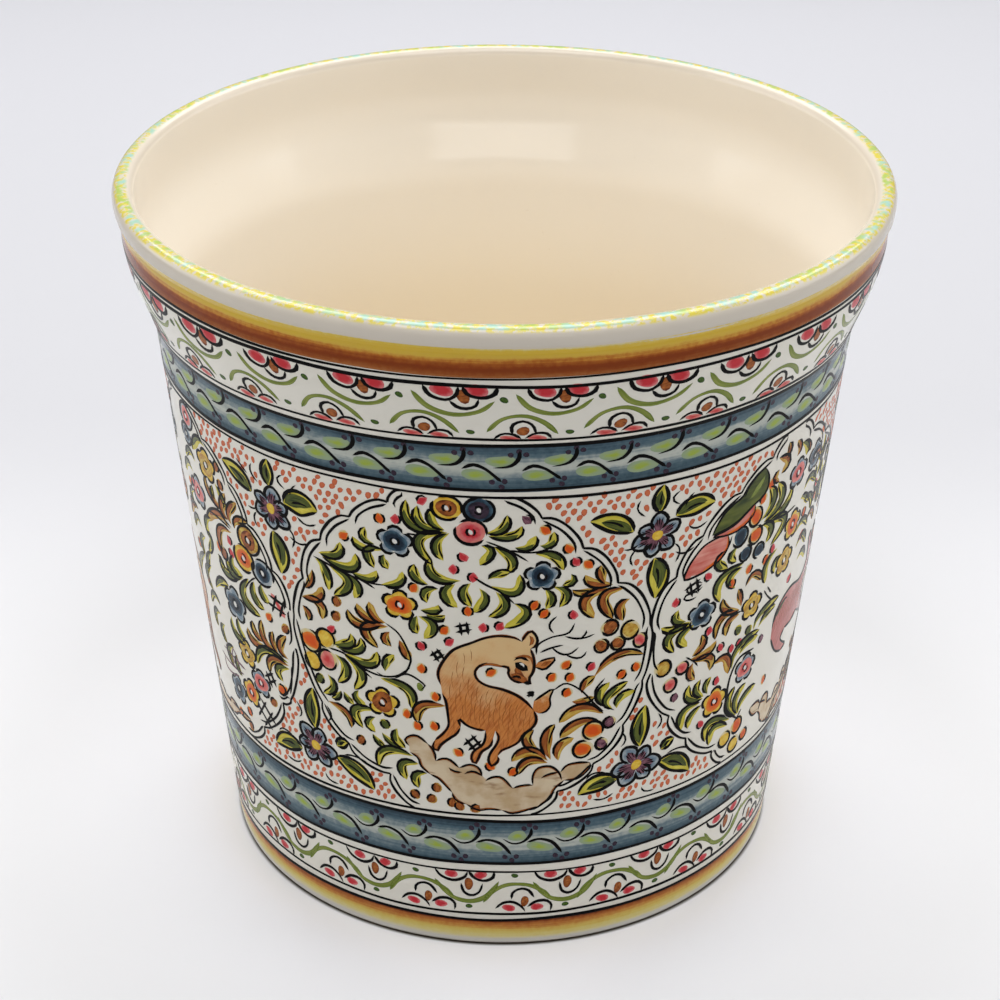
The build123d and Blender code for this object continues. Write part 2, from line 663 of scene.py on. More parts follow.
def laid_each(s, copies=2, down=PANEL_MIDDLE, shift=0.0, tilt=0.0, size=0.0, seed=1, start=0.0):
    """Repeats every paint of a motif in step round the pot, beginning at a place in degrees."""
    values = {
        "Copies": copies, "Step": 360.0 / copies * WAY * MM, "Start": start * WAY * MM,
        "Height": (POT_HEIGHT - down) * MM, "Shift": shift * MM, "Tilt": math.radians(tilt),
        "Size": size, "Seed": seed,
    }
    for sheet in s.values():
        if sheet.points:
            put_by(sheet.name, grown(sheet.mesh(), sheet.name, REPEAT, values))


def merged(name, meshes):
    """Several meshes as one."""
    together = bmesh.new()
    for mesh in meshes:
        together.from_mesh(mesh)
    mesh = bpy.data.meshes.new(name)
    together.to_mesh(mesh)
    together.free()
    return mesh


def wrapped(name, paint):
    """Wraps all the sheets of one paint round the pot as one piece."""
    values = {"Pot": pot, "Radius": PAINTED_RADIUS * MM, "Paint": paint}
    piece = grown(merged(name, sheets[name]), name, WRAP, values)
    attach(piece, "root")


# Washes laid with the pot turning on the wheel

def wavering(seed, size):
    """A slow wandering of a hand-held brush, the same after a full turn."""
    chance = random.Random(seed)
    waves = []
    for k in (2, 3, 5, 9, 14):
        waves.append((k, chance.uniform(0, math.tau), size * chance.uniform(0.3, 1) / k ** 0.5))
    return lambda way: sum(high * math.sin(k * math.radians(way) + phase) for k, phase, high in waves)


def full_ring(sheet, edges, lift, row, rows, seed, waver=0.25):
    """A wash all the way round, through rows of points at the given depths below the rim."""
    steps = 360
    columns = len(edges)
    whole = wavering(seed, waver)
    wave = [wavering(seed + 1 + k, waver * 0.3) for k in range(columns)]
    ways = [360 * i / steps - 180 for i in range(steps)]
    points = [at(way, down + whole(way) + wave[k](way)) for way in ways for k, down in enumerate(edges)]
    start = sheet.add_points(points, lift)
    under = len(points)

    def mark(i, k, end=0):
        arc = i * ARCS // steps
        along = (i + end) * ARCS / steps - arc
        across = (edges[k] - edges[0]) / (edges[-1] - edges[0])
        strip = row * ARCS + arc + STRIP_EDGE + STRIP_SHARE * across
        return (0.01 + 0.98 * along, strip / (rows * ARCS))

    for i in range(steps):
        j = (i + 1) % steps
        for k in range(columns - 1):
            face = [i * columns + k, i * columns + k + 1, j * columns + k + 1, j * columns + k]
            sides = [mark(i, k), mark(i, k + 1), mark(i, k + 1, 1), mark(i, k, 1)]
            sheet.add_face(start, face, sides)
            sheet.add_face(start + under, face[::-1], sides[::-1])
        for k, order in ((0, 1), (columns - 1, -1)):
            a, b = i * columns + k, j * columns + k
            sides = [mark(i, k), mark(i, k, 1), mark(i, k, 1), mark(i, k)]
            sheet.add_face(start, [a, b, b + under, a + under][::order], sides[::order])


# Glaze and paints, in colours as they look on screen

WHITE = (231, 227, 214)
# Painted shade: a greyer white over the roll of the lip
LIP_WHITE_PAINTED_SHADE = (214, 205, 191)
# The inside's cream: lighter high up and deeper lower down, as painted light and shade
CREAM = (246, 237, 222)
SHADED_LOW_CREAM = (243, 230, 206)
# Painted shade: a darker cream along the inner edge of the lip
LIP_CREAM_PAINTED_SHADE = (224, 213, 196)
CLAY = (214, 186, 150)
# The gloss of the brushed colours, weaker than that of the bare glaze
GLOSS = {"Roughness": 0.15, "IOR": 1.2}


class Material(Nodes):
    """A material being built on its Principled shader."""

    def __init__(self, name):
        self.material = bpy.data.materials.new(name)
        self.material.use_nodes = True
        super().__init__(self.material.node_tree)

    def place(self):
        return self.node("ShaderNodeTexCoord", output="Object")

    def mark(self):
        """The UVs."""
        return self.node("ShaderNodeUVMap", uv_map="OFBake")

    def stretched(self, place, scale):
        return self.vectors("MULTIPLY", place, scale)

    def finish(self, colour, inputs=GLOSS):
        self.fill(self.tree.nodes["Principled BSDF"], {"Base Color": colour, **inputs})
        return self.material


def glaze_material():
    """White outside, cream inside, a sponged lip, and bare clay where the foot stands; painted shade greys
    the lip and the foot, and painted light brightens the cream high inside.
    """
    tree = Material("tin_glaze")
    place = tree.place()
    height = tree.parts(place)["Z"]
    cloud = tree.noise(place, 22.0, 3.0)
    fine = tree.noise(place, 900.0, 2.0)
    large = tree.noise(place, 60.0, 1.0)
    lip = tree.node("ShaderNodeAttribute", output="Fac", attribute_name="from_lip")

    def strip(low, high):
        """A strip along the lip between two distances inwards from its top, with soft edges."""
        rise = tree.ramp(lip, low - 0.0007, low + 0.0004)
        return tree.times(rise, tree.ramp(lip, high + 0.0008, high - 0.0004))

    white = tree.mix(cloud, WHITE, (234, 230, 218))
    # Painted shade: the white is greyer over the roll of the lip
    white = tree.mix(strip(-0.0095, 0.004), white, LIP_WHITE_PAINTED_SHADE)
    # Painted light and shade: the cream is lighter high inside and deeper lower down
    cream = tree.mix(tree.ramp(height, 0.13, 0.18), SHADED_LOW_CREAM, tree.mix(cloud, CREAM, (249, 241, 227)))
    cream = tree.mix(tree.times(tree.ramp(fine, 0.74, 0.78), 0.12), cream, (190, 165, 125))
    glazed = tree.mix(tree.ramp(tree.around(cloud, 0.003, lip), 0.0009, 0.0022), white, cream)
    # Painted shade: the cream is darker along the inner edge of the lip
    glazed = tree.mix(strip(0.0012, 0.004), glazed, LIP_CREAM_PAINTED_SHADE)
    yellow = tree.mix(large, (218, 202, 92), (222, 204, 74))
    share = tree.ramp(tree.noise(place, 520.0, 3.0, Roughness=0.65), 0.41, 0.55)
    glazed = tree.mix(tree.times(share, strip(-0.0023, 0.0012)), glazed, yellow)
    sponge = {"Vector": place, "Scale": 340.0, "Detail": 3.0, "W": 3.0}
    share = tree.ramp(tree.node("ShaderNodeTexNoise", sponge, noise_dimensions="4D"), 0.43, 0.61)
    green = tree.mix(tree.ramp(large, 0.42, 0.58), (170, 198, 100), (156, 206, 196))
    glazed = tree.mix(tree.times(tree.times(share, strip(-0.0014, 0.0015)), 0.85), glazed, green)
    # Painted shade: the white glaze turns greyer towards the foot
    glazed = tree.mix(tree.times(tree.ramp(height, 0.0145, 0.008), 0.9), glazed, (204, 200, 191))
    bare = tree.math("SUBTRACT", 1.0, tree.ramp(height, 0.0004, 0.0009))
    rough = tree.math("MULTIPLY_ADD", bare, 0.6, tree.math("MULTIPLY_ADD", cloud, 0.06, 0.12))
    colour = tree.mix(bare, glazed, tree.mix(fine, CLAY, (196, 164, 126)))
    return tree.finish(colour, {"Roughness": rough, "IOR": 1.45})


def stroke_group():
    """How thick a brushed colour lies at a place on its stroke: streaks along, pooled at the edges."""
    inputs = (("Place", "Vector"), ("Streaks", "Float"), ("Pooling", "Float"), ("Blotches", "Float"))
    tree = Group("brushed_thickness", "ShaderNodeTree", inputs, ("Thickness", "Float"))
    place, streaks, pooling, blotches = tree.inputs
    sheet = tree.vectors("MULTIPLY", place, CELL)
    local = tree.vectors("FRACTION", sheet)
    moved = tree.scaled(tree.vectors("FLOOR", sheet), 7.3)
    long = tree.vectors("ADD", tree.vectors("MULTIPLY", local, (1.6, 9.0, 1)), moved)
    streak = tree.noise(long, 1.0, 2.0)
    blotch = tree.noise(tree.vectors("ADD", local, moved), 2.6, 3.0)
    parts = tree.parts(local)
    sides = [tree.math("ABSOLUTE", tree.math("SUBTRACT", parts[axis], 0.5)) for axis in ("X", "Y")]
    edge = tree.ramp(tree.math("MAXIMUM", *sides), 0.22, 0.5)
    total = tree.around(blotch, blotches, tree.around(streak, streaks))
    total = tree.math("MULTIPLY_ADD", total, 2.4, 0.45)
    total = tree.math("MULTIPLY_ADD", edge, pooling, total)
    return tree.finish(tree.node("ShaderNodeClamp", {0: total}))


STROKES = stroke_group()


def brushed(name, thin, thick, streaks, pooling, blotches, strength=GLOSS["IOR"]):
    """A ceramic colour brushed on with water: thin where it ran dry, thick where it pooled."""
    tree = Material(name)
    values = {"Place": tree.mark(), "Streaks": streaks, "Pooling": pooling, "Blotches": blotches}
    thickness = tree.node("ShaderNodeGroup", values, node_tree=STROKES)
    return tree.finish(tree.mix(thickness, thin, thick), {**GLOSS, "IOR": strength})


def soft(name, rim, heart, spread, mottle=0.35):
    """A wet dab whose colour runs out from its heart to its rim."""
    tree = Material(name)
    sheet = tree.stretched(tree.mark(), CELL)
    out = tree.vectors("DISTANCE", tree.vectors("FRACTION", sheet), (0.5, 0.5, 0), output="Value")
    out = tree.around(tree.noise(sheet, 3.1, 3.0), mottle, out)
    return tree.finish(tree.mix(tree.ramp(out, 0.5 * spread[1], 0.5 * spread[0]), rim, heart))


def banded(name, *colours):
    """A wash laid on the turning pot. Colours are (share across, colour) from one edge to the other."""
    tree = Material(name)
    place = tree.place()
    streak = 0.35
    fine = tree.noise(tree.stretched(place, (9, 9, 900)), 1.0, 3.0, Roughness=0.6)
    cloud = tree.noise(tree.stretched(place, (30, 30, 160)), 1.0, 2.0)
    grain = tree.noise(place, 620.0, 2.0)
    across = tree.math("FRACT", tree.times(tree.parts(tree.mark())["Y"], 2.0 * ARCS))
    across = tree.times(tree.math("SUBTRACT", across, STRIP_EDGE), 1 / STRIP_SHARE)
    for noise, size in ((fine, streak), (cloud, streak * 0.6), (grain, streak * 0.5)):
        across = tree.around(noise, size, across)
    scale = tree.node("ShaderNodeValToRGB", {0: across})
    stops = scale.node.color_ramp.elements
    for number, (share, colour) in enumerate(colours):
        stop = stops[number] if number < 2 else stops.new(share)
        stop.position = share
        stop.color = linear(colour)
    scale.node.color_ramp.interpolation = "B_SPLINE"
    return tree.finish(scale)


def furred(name, pale, warm, deep):
    """Washes over a figure, from pale at the top left to deep at the lower right, combed with a dry brush."""
    tree = Material(name)
    place = tree.mark()
    turned = tree.node("ShaderNodeVectorRotate", {"Vector": place, "Angle": 0.5}, rotation_type="Z_AXIS")
    comb = tree.noise(tree.stretched(turned, (95, 10, 1)), 1.0, 3.0, Distortion=0.6)
    down = tree.math("SUBTRACT", 1.0, tree.parts(place)["Y"])
    share = tree.around(tree.noise(place, 7.0, 4.0), 0.7, down)
    base = tree.mix(tree.ramp(share, 0.1, 0.62), pale, warm)
    strokes = tree.times(tree.ramp(comb, 0.42, 0.7), tree.ramp(share, 0.15, 0.6))
    return tree.finish(tree.mix(tree.times(strokes, 0.8), base, deep))


def clouded(name, pale, warm, deep):
    """A thin wash with soft darker clouds in it."""
    tree = Material(name)
    place = tree.mark()
    streak = tree.noise(tree.stretched(place, (7, 22, 1)), 1.0, 3.0)
    base = tree.mix(tree.ramp(tree.noise(place, 6.0, 4.0), 0.38, 0.62), pale, warm)
    return tree.finish(tree.mix(tree.times(tree.ramp(streak, 0.56, 0.72), 0.75), base, deep))


# Each paint as it looks on the fired pot: how it is laid, its name, and its colours
BLACK = ((14, 13, 13), (3, 3, 3), 0.4, 0.1, 0.4, 1.12)
PAINTS = {
    "blacks": (brushed, "black_line", *BLACK),
    "reds": (soft, "carmine", (218, 124, 126), (200, 50, 58), (0.42, 1.1), 0.5),
    "pinks": (soft, "rose", (226, 140, 130), (204, 66, 66), (0.1, 1.1), 0.6),
    "browns": (brushed, "brown", (188, 108, 46), (104, 48, 17), 0.7, 0.4, 0.7),
    "ochres": (brushed, "ochre", (216, 190, 92), (176, 120, 32), 0.6, 0.35, 0.8),
    "halos": (soft, "yellow_halo", (217, 210, 180), (222, 186, 60), (0.3, 1.05)),
    "yellows": (brushed, "yellow", (234, 206, 86), (214, 162, 38), 0.5, 0.3, 0.8),
    "oranges": (soft, "orange", (224, 136, 44), (216, 84, 22), (0.4, 1.1)),
    "leaf_yellows": (brushed, "leaf_yellow", (224, 212, 92), (188, 172, 44), 0.6, 0.4, 0.7),
    "leaf_greens": (brushed, "leaf_green", (104, 112, 42), (44, 58, 26), 0.7, 0.35, 0.7),
    "twigs": (brushed, "twig_green", (152, 160, 78), (86, 108, 26), 0.5, 0.4, 0.8),
    "dark_dots": (brushed, "dark_green", (84, 112, 40), (34, 62, 24), 0.3, 0.6, 0.5),
    "limes": (soft, "lime", (150, 168, 134), (160, 178, 72), (0.05, 0.8), 0.6),
    "plums": (brushed, "plum", (146, 98, 110), (68, 36, 52), 0.8, 0.3, 0.9),
    "petals": (soft, "grey_blue", (194, 200, 200), (110, 130, 146), (0.3, 1.15), 0.7),
    "blues": (soft, "navy", (76, 108, 126), (22, 38, 54), (0.5, 1.2), 0.5),
    "navies": (brushed, "dark_navy", (74, 56, 72), (26, 22, 34), 0.4, 0.4, 0.6),
    "whites": (brushed, "white_eye", (232, 230, 224), (224, 222, 216), 0.2, 0.1, 0.2),
    "corals": (soft, "coral", (184, 82, 50), (206, 110, 72), (0.4, 1.1), 0.6),
    "feather_pinks": (brushed, "feather_pink", (226, 158, 142), (202, 92, 80), 0.9, 0.3, 0.6),
    "fawn": (furred, "fawn", (224, 190, 138), (208, 132, 66), (170, 86, 36)),
    "rose_coat": (furred, "rose_coat", (214, 150, 140), (196, 110, 104), (150, 80, 70)),
    "stone": (clouded, "stone", (218, 199, 168), (194, 165, 126), (148, 110, 74)),
}
BAND_PAINTS = {
    "earth_band_above": (
        banded, "earth_wash_above", (0.0, (218, 208, 172)), (0.06, (222, 194, 78)), (0.18, (216, 178, 50)),
        (0.34, (220, 188, 78)), (0.45, (206, 146, 56)), (0.53, (180, 98, 34)), (0.66, (132, 54, 8)),
        (0.78, (130, 56, 10)), (0.9, (150, 76, 24)), (1.0, (166, 104, 56))),
    "earth_band_below": (
        banded, "earth_wash_below", (0.0, (212, 204, 182)), (0.12, (220, 208, 152)), (0.26, (218, 202, 122)),
        (0.44, (214, 190, 96)), (0.58, (206, 158, 76)), (0.7, (188, 120, 56)), (0.82, (168, 92, 40)),
        (0.93, (126, 60, 24)), (1.0, (70, 34, 16))),
    "blue_bands": (
        banded, "slate_wash", (0.0, (42, 58, 68)), (0.12, (64, 88, 102)), (0.28, (92, 116, 126)),
        (0.43, (196, 200, 190)), (0.57, (194, 198, 188)), (0.71, (100, 122, 132)), (0.88, (62, 86, 98)),
        (1.0, (40, 56, 66))),
    "rings": (brushed, "black_ring", *BLACK),
}


# The brush at work: sheets for each motif, and marks made of several strokes

def new_sheets(seed):
    """A fresh sheet of each paint."""
    return {name: Sheet(name, seed + n) for n, name in enumerate(PAINTS)}


def line(s, points, width=0.5, shape="line"):
    s["blacks"].stroke(on_paper(points), width, LINE, shape)


def dabs(s, paint, places, wide, high, turn=0.0, lift=FILL, rough=0.07):
    """The same dab at each of the places."""
    for place in places:
        s[paint].blob(at(*place), wide, high, lift, turn, rough)


def arc(s, place, radius_x, radius_y, start, stop, width=0.5):
    """Part of an oval's outline, in degrees counted anticlockwise from the right."""
    centre = at(*place)
    count = max(3, round(abs(stop - start) / 30))
    points = []
    for i in range(count + 1):
        angle = math.radians(start + (stop - start) * i / count)
        points.append(centre + Vector((math.cos(angle) * radius_x, math.sin(angle) * radius_y)))
    s["blacks"].stroke(points, width)


def leaf(s, foot, bend, tip, width, brown=False):
    """A comma of a leaf: pale edge, darker heart, and black along the outer side of its bend."""
    a, b, c = on_paper((foot, bend, tip))
    points = [a + (a - b) * 0.04, b, c + (c - b) * 0.1]
    side = -1 if (b - a).cross(c - b) > 0 else 1
    width *= 1.12
    blacks = s["blacks"]
    chance = blacks.chance
    under, heart = ("ochres", "browns") if brown else ("leaf_yellows", "leaf_greens")
    s[under].stroke(points, width + 0.7, UNDER, "leaf", -0.1 * side)
    ends = (0.04, chance.uniform(0.74, 0.92))
    s[heart].stroke(points, width * 0.74, FILL, "leaf", 0.16 * width * side, ends)
    begin = chance.choice((0.0, 0.08, 0.16))
    outline = chance.uniform(0.62, 0.85)
    blacks.stroke(points, outline, aside=(0.5 * width + 0.15) * side, part=(begin, 1.0))
    if chance.random() < 0.75:
        blacks.stroke(points, 0.45, aside=-0.42 * width * side, part=(0.4, 1.0))


def berry(s, paint, way, down, radius=1.5, whole=False):
    """A small fruit: a drop of colour with black down one side or both, or a large round one."""
    chance = s["blacks"].chance
    place = at(way, down)
    if whole:
        turn = chance.uniform(20, 70)
        high = radius * 2 * chance.uniform(1.0, 1.2)
        if paint != "blues":
            s["halos"].blob(place, radius * 2.6, high * 1.2, UNDER, turn)
        s[paint].blob(place, radius * 1.8, high * 0.94, FILL, turn, 0.1)
        start = chance.choice((60, 150, 200, -30))
        arc(s, (way, down), radius * 1.08, high * 0.56, start, start + 300, 0.75)
        return
    up = Matrix.Rotation(chance.uniform(-0.9, 0.9), 2) @ Vector((0, radius))
    lean = math.degrees(math.atan2(up.y, up.x)) - 90
    under = {"browns": "ochres", "oranges": "halos", "leaf_greens": "leaf_yellows"}.get(paint)
    if under:
        s[under].blob(place, radius * 2.3, radius * 2.7, UNDER, lean)
    s[paint].stroke([place + up * 1.25, place - up * 1.25], radius * 1.8, FILL, "leaf")
    sides = chance.random()
    if sides < 0.7:
        arc(s, (way, down), radius, radius * 1.15, lean + 95, lean + 250, 0.62)
    if sides > 0.45:
        arc(s, (way, down), radius, radius * 1.15, lean - 70, lean + 60, 0.6)


def eye(s, way, down, radius):
    """A white eye with a black ring round most of it."""
    s["whites"].blob(at(way, down), radius * 0.3, radius * 0.42, TOUCH, 25)
    start = s["blacks"].chance.uniform(0, 180)
    arc(s, (way, down), radius * 0.2 + 0.25, radius * 0.27 + 0.25, start, start + 170, 0.62)
    arc(s, (way, down), radius * 0.22 + 0.3, radius * 0.3 + 0.2, start + 185, start + 320, 0.5)


def round_flower(s, rim, heart, way, down, radius):
    """A flower seen as a disc: pale rim, darker ring, and a white eye in a black ring."""
    place = at(way, down)
    s[rim].blob(place, radius * 2, radius * 1.95, UNDER, 0, 0.05)
    s[heart].blob(place, radius * 1.45, radius * 1.4, FILL, 30, 0.06)
    eye(s, way, down, radius)
    start = s["blacks"].chance.uniform(20, 200)
    arc(s, (way, down), radius * 1.04, radius * 1.02, start, start + 170, 0.85)
    arc(s, (way, down), radius * 1.06, radius * 1.02, start + 190, start + 335, 0.75)


def lobed_flower(s, rim, heart, way, down, radius):
    """A flower of five round petals about a darker middle."""
    place = at(way, down)
    for k in range(5):
        angle = math.radians(15 + 360 * k / 5)
        out = towards(angle)
        s[rim].blob(place + out * radius * 0.58, radius * 0.86, radius * 0.86, UNDER, math.degrees(angle))
        centre = place + out * radius * 0.6
        swings = [angle + math.radians(-88 + 172 * i / 4) for i in range(5)]
        s["blacks"].stroke([centre + towards(swing) * radius * 0.46 for swing in swings], 0.78)
    s[heart].blob(place, radius * 1.46, radius * 1.34, FILL, 40, 0.1)
    eye(s, way, down, radius * 0.9)


def star_flower(s, way, down, radius, turn):
    """A six-petalled flower: plum petals edged in grey blue round a yellow middle."""
    place = at(way, down)
    blacks = s["blacks"]
    chance = blacks.chance
    for k in range(6):
        angle = math.radians(turn + 60 * k + chance.uniform(-9, 9))
        long = radius * chance.uniform(0.9, 1.14)
        wide = chance.uniform(0.84, 1.04)
        side = left_of(towards(angle)) * wide
        out = towards(angle) * long
        across = side * long
        middle = place + out * 0.62
        s["petals"].blob(middle, long, long * 0.8 * wide, UNDER, math.degrees(angle))
        s["plums"].stroke([place + out * 0.8, place + out * 0.06], long * 0.46 * wide, FILL, "almond")
        outline = [place + out * 0.28 + across * 0.22, middle + across * 0.4,
                   place + out + across * 0.24, place + out * 1.1 - across * 0.05,
                   middle + out * 0.16 - across * 0.4, middle - out * 0.2 - across * 0.32]
        blacks.stroke(outline, 0.85)
        for aside in (-0.15, 0.02, 0.14):
            start = place + out * chance.uniform(0.7, 0.92) + side * aside * long
            blacks.stroke([start, place + out * 0.4 + side * aside * 0.6 * long], 0.42, LINE, "comma")
    s["yellows"].blob(place, radius * 0.5, radius * 0.54, TOUCH, 0)


def broad_leaf(s, foot, tip, width, bend):
    """An almond leaf beside a flower: yellow, green at heart, a black vein, outlined in two strokes."""
    a, b = on_paper((foot, tip))
    along = b - a
    middle = a.lerp(b, 0.5) + left_of(along).normalized() * along.length * bend
    width *= 1.28
    s["leaf_yellows"].stroke([a, middle, b], width + 0.3, UNDER, "almond")
    s["leaf_greens"].stroke([a, middle, b], width * 0.6, FILL, "almond", width * 0.08, (0.06, 0.84))
    for way in (1, -1):
        s["blacks"].stroke([a, middle, b], 0.95, aside=way * width * 0.5, body="almond")
    s["blacks"].stroke([a.lerp(middle, 0.5), middle, middle.lerp(b, 0.5)], 0.85, LINE, "comma")


def hatch(s, way, down, size, turn):
    """Two strokes crossed by two more."""
    place = at(way, down)
    rotate = Matrix.Rotation(math.radians(turn), 2)
    for shift in (-0.2, 0.2):
        for points in (((shift, -0.5), (shift + 0.1, 0.5)), ((-0.5, shift), (0.5, shift + 0.08))):
            s["blacks"].stroke([place + rotate @ Vector(p) * size for p in points], 0.75)


def lobed_frame(s, cusps, middle, shared=-1):
    """One side of a panel's frame: a lobed line, and another inside it that hooks out at each cusp.

    Where the frame touches the next panel's, the lobe numbered shared is left to that one.
    """
    points = on_paper(cusps)
    centre = at(middle, PANEL_MIDDLE)
    for number, (a, b) in enumerate(zip(points, points[1:])):
        chord = b - a
        out = left_of(chord).normalized()
        if out.dot(a.lerp(b, 0.5) - centre) < 0:
            out = -out
        widest = min(abs(p.x / WAY - middle) for p in (a, b)) > 25
        high = chord.length * (0.07 if widest else 0.15)
        outer = [a - out * 0.2, a.lerp(b, 0.16) + out * high * 0.75, a.lerp(b, 0.45) + out * high,
                 a.lerp(b, 0.8) + out * high * 0.6, b - out * 0.2]
        if number != shared:
            s["blacks"].stroke(outer, 0.74, LINE, "rope")
        start = a.lerp(b, 0.04) - out * 0.7
        end = b - out * 2.9 - chord.normalized() * 0.3
        s["blacks"].stroke([start] + [p - out * 2.1 for p in outer[1:4]] + [end], 0.62)


# Stage: a pale floor with painted light and shade round the pot, soft studio light and the camera

def add_floor():
    mesh = bpy.data.meshes.new("floor")
    reach = 4.0
    corners = [(-reach, -reach, 0), (reach, -reach, 0), (reach, reach, 0), (-reach, reach, 0)]
    mesh.from_pydata(corners, [], [(0, 1, 2, 3)])
    tree = Material("pale_floor")
    place = tree.place()
    depth = tree.parts(place)["Y"]
    away = tree.vectors("LENGTH", place, output="Value")
    # Painted shade: the floor is darker towards the back
    pale = tree.mix(tree.ramp(depth, 0.0, 0.3), (230, 230, 232), (204, 204, 208))
    pale = tree.mix(tree.ramp(depth, 0.3, 0.9), pale, (210, 210, 215))
    # Painted light: the floor is lighter close round the pot, where its shadow falls
    pale = tree.mix(tree.ramp(away, 0.18, 0.09), pale, (248, 248, 252))
    # Painted shadow: a dark ring on the floor where the pot's foot stands
    pale = tree.mix(tree.ramp(away, 0.0925, 0.091), pale, (96, 92, 84))
    mesh.materials.append(tree.finish(pale, {"Roughness": 0.7, "Specular IOR Level": 0.2}))
    floor = placed("floor", mesh)


LAMPS = (
    ("softbox", (0, -0.75, 1.6), (0, 0, 0.05), (1.5, 1.2), 6.7),
    ("top_softbox", (0, -0.42, 1.75), (0, 0.05, 0.1), (1.3, 0.7), 11.5),
    ("front_strip", (0, -1.7, 0.85), (0, 0.1, 0.2), (1.6, 0.09), 1.9),
    ("back_softbox", (0, 0.9, 1.3), (0, 0, 0.1), (1.6, 0.9), 16.6),
    ("left_softbox", (-1.6, 0.25, 0.95), (0, 0, 0.1), (1.4, 1.2), 9.5),
    ("right_softbox", (1.6, 0.25, 0.95), (0, 0, 0.1), (1.4, 1.2), 9.5),
)


def add_light():
    """A white studio, dark on the side where the camera stands, with large soft lamps all round."""
    world = bpy.data.worlds.new("studio")
    world.use_nodes = True
    tree = Nodes(world.node_tree)
    parts = tree.parts(tree.node("ShaderNodeTexCoord", output="Generated"))
    front = tree.ramp(tree.times(parts["Y"], -1.0), 0.1, 0.75)
    dark = tree.times(front, tree.ramp(parts["Z"], 0.8, 0.35))
    shade = tree.mix(dark, [1, 1, 1, 1], [0.03, 0.03, 0.03, 1])
    tree.fill(world.node_tree.nodes["Background"], {0: shade, 1: 0.12})
    bpy.context.scene.world = world
    for name, place, aim, size, power in LAMPS:
        lamp = bpy.data.lights.new(name, "AREA")
        lamp.shape = "RECTANGLE"
        lamp.size, lamp.size_y = size
        lamp.energy = power
        holder = placed(name, lamp)
        holder.location = place
        holder.rotation_euler = (Vector(aim) - Vector(place)).to_track_quat("-Z", "Y").to_euler()


CAMERA_PLACE = (0.0, -0.7196, 0.5069)
CAMERA_DOWN = 28.756
CAMERA_HEADING = -0.076
CAMERA_ROLL = 0.245
FOCAL_PIXELS = 2484
FRAME_PIXELS = 1000


def add_camera():
    camera = bpy.data.cameras.new("camera")
    camera.sensor_width = 36.0
    camera.lens = camera.sensor_width * FOCAL_PIXELS / FRAME_PIXELS
    holder = placed("camera", camera)
    heading = Matrix.Rotation(-math.radians(CAMERA_HEADING), 3, "Z")
    lowered = Matrix.Rotation(math.radians(90 - CAMERA_DOWN), 3, "X")
    rolled = Matrix.Rotation(math.radians(CAMERA_ROLL), 3, "Z")
    holder.rotation_euler = (heading @ lowered @ rolled).to_euler()
    holder.location = CAMERA_PLACE
    bpy.context.scene.camera = holder


pot = turned_pot(glaze_material())
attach(pot, "root")
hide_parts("pot")


# Bands and rings, all the way round, by their depths below the rim

EARTH_ABOVE = (5.4, 7.4, 9.7, 12.2, 14.9)
EARTH_BELOW = (226.2, 224.4, 222.4, 220.4, 218.4)
BLUE_ABOVE = (39.4, 41.8, 43.8, 45.8, 47.8, 49.8, 52, 54.8)
BLUE_BELOW = (176.8, 180, 183, 186, 189, 192, 194.8)
RINGS = (
    (15.4, 0.75), (17.4, 1.05), (37.3, 0.8), (39.6, 1.1), (54.5, 1.05), (56.8, 0.75),
    (174.7, 0.75), (177.0, 1.05), (194.5, 1.0), (197.7, 0.75), (215.3, 0.9), (218.3, 1.05),
)


def paint_bands():
    above, below, blue, rings = bands = [Sheet(name) for name in BAND_PAINTS]
    full_ring(above, EARTH_ABOVE, WASH, 0, 2, 11)
    full_ring(below, EARTH_BELOW, WASH, 0, 2, 21)
    full_ring(blue, BLUE_ABOVE, WASH, 0, 2, 31)
    full_ring(blue, BLUE_BELOW, WASH, 1, 2, 41)
    for number, (down, width) in enumerate(RINGS):
        full_ring(rings, (down - width / 2, down + width / 2), LINE, number, len(RINGS), 50 + number, 0.45)
    return bands


# The flower borders, each a flower and then another the other way up

def paint_upper_border():
    s = new_sheets(100)
    dabs(s, "reds", ((-2.5, 19.3), (2.1, 19.1)), 5.6, 4.0, -8)
    dabs(s, "browns", ((0.3, 21.2),), 3.3, 4.6, 8)
    line(s, ((-5.0, 17.9), (-4.1, 21.2), (-2.0, 22.5), (-0.6, 20.6), (-0.3, 17.8)), 0.85)
    line(s, ((0.2, 17.8), (1.0, 20.6), (2.9, 21.5), (4.4, 20.2), (4.8, 17.7)), 0.95)
    line(s, ((-1.6, 22.6), (-0.6, 24.8), (0.7, 25.3), (1.9, 24.2), (2.3, 21.8)), 0.8)
    trough = ((-6.6, 20.0), (-4.5, 25.2), (-1.2, 27.6), (2.2, 26.3), (4.4, 22.6))
    s["twigs"].stroke(on_paper(trough), 1.5, WASH)
    dabs(s, "dark_dots", ((5.6, 22.2),), 2.3, 1.8, -35)
    laid_each(s, 26, 22, 0.35, 2.5, 0.05, 3, -5.7)
    s = new_sheets(200)
    dabs(s, "browns", ((0.3, 33.5),), 3.4, 3.3, -20)
    line(s, ((-1.2, 34.7), (-1.3, 31.3), (0.2, 29.7), (1.6, 31.3), (2.2, 34.7)), 0.75)
    dabs(s, "pinks", ((-1.6, 36.2), (2.3, 36.0)), 5.0, 1.9, -4)
    line(s, ((-3.9, 36.5), (-2.6, 34.5), (-1.0, 34.8), (0.1, 36.4)), 0.65)
    line(s, ((0.6, 36.3), (2.0, 34.4), (3.7, 34.5), (4.5, 36.6)), 0.65)
    crest = ((-4.9, 34.0), (-2.7, 29.0), (0.3, 27.7), (3.1, 30.2), (5.4, 35.0))
    s["twigs"].stroke(on_paper(crest), 1.4, WASH)
    dabs(s, "dark_dots", ((7.0, 34.3),), 2.3, 1.7, -25)
    laid_each(s, 26, 33, 0.35, 2.5, 0.05, 13, 2.4)


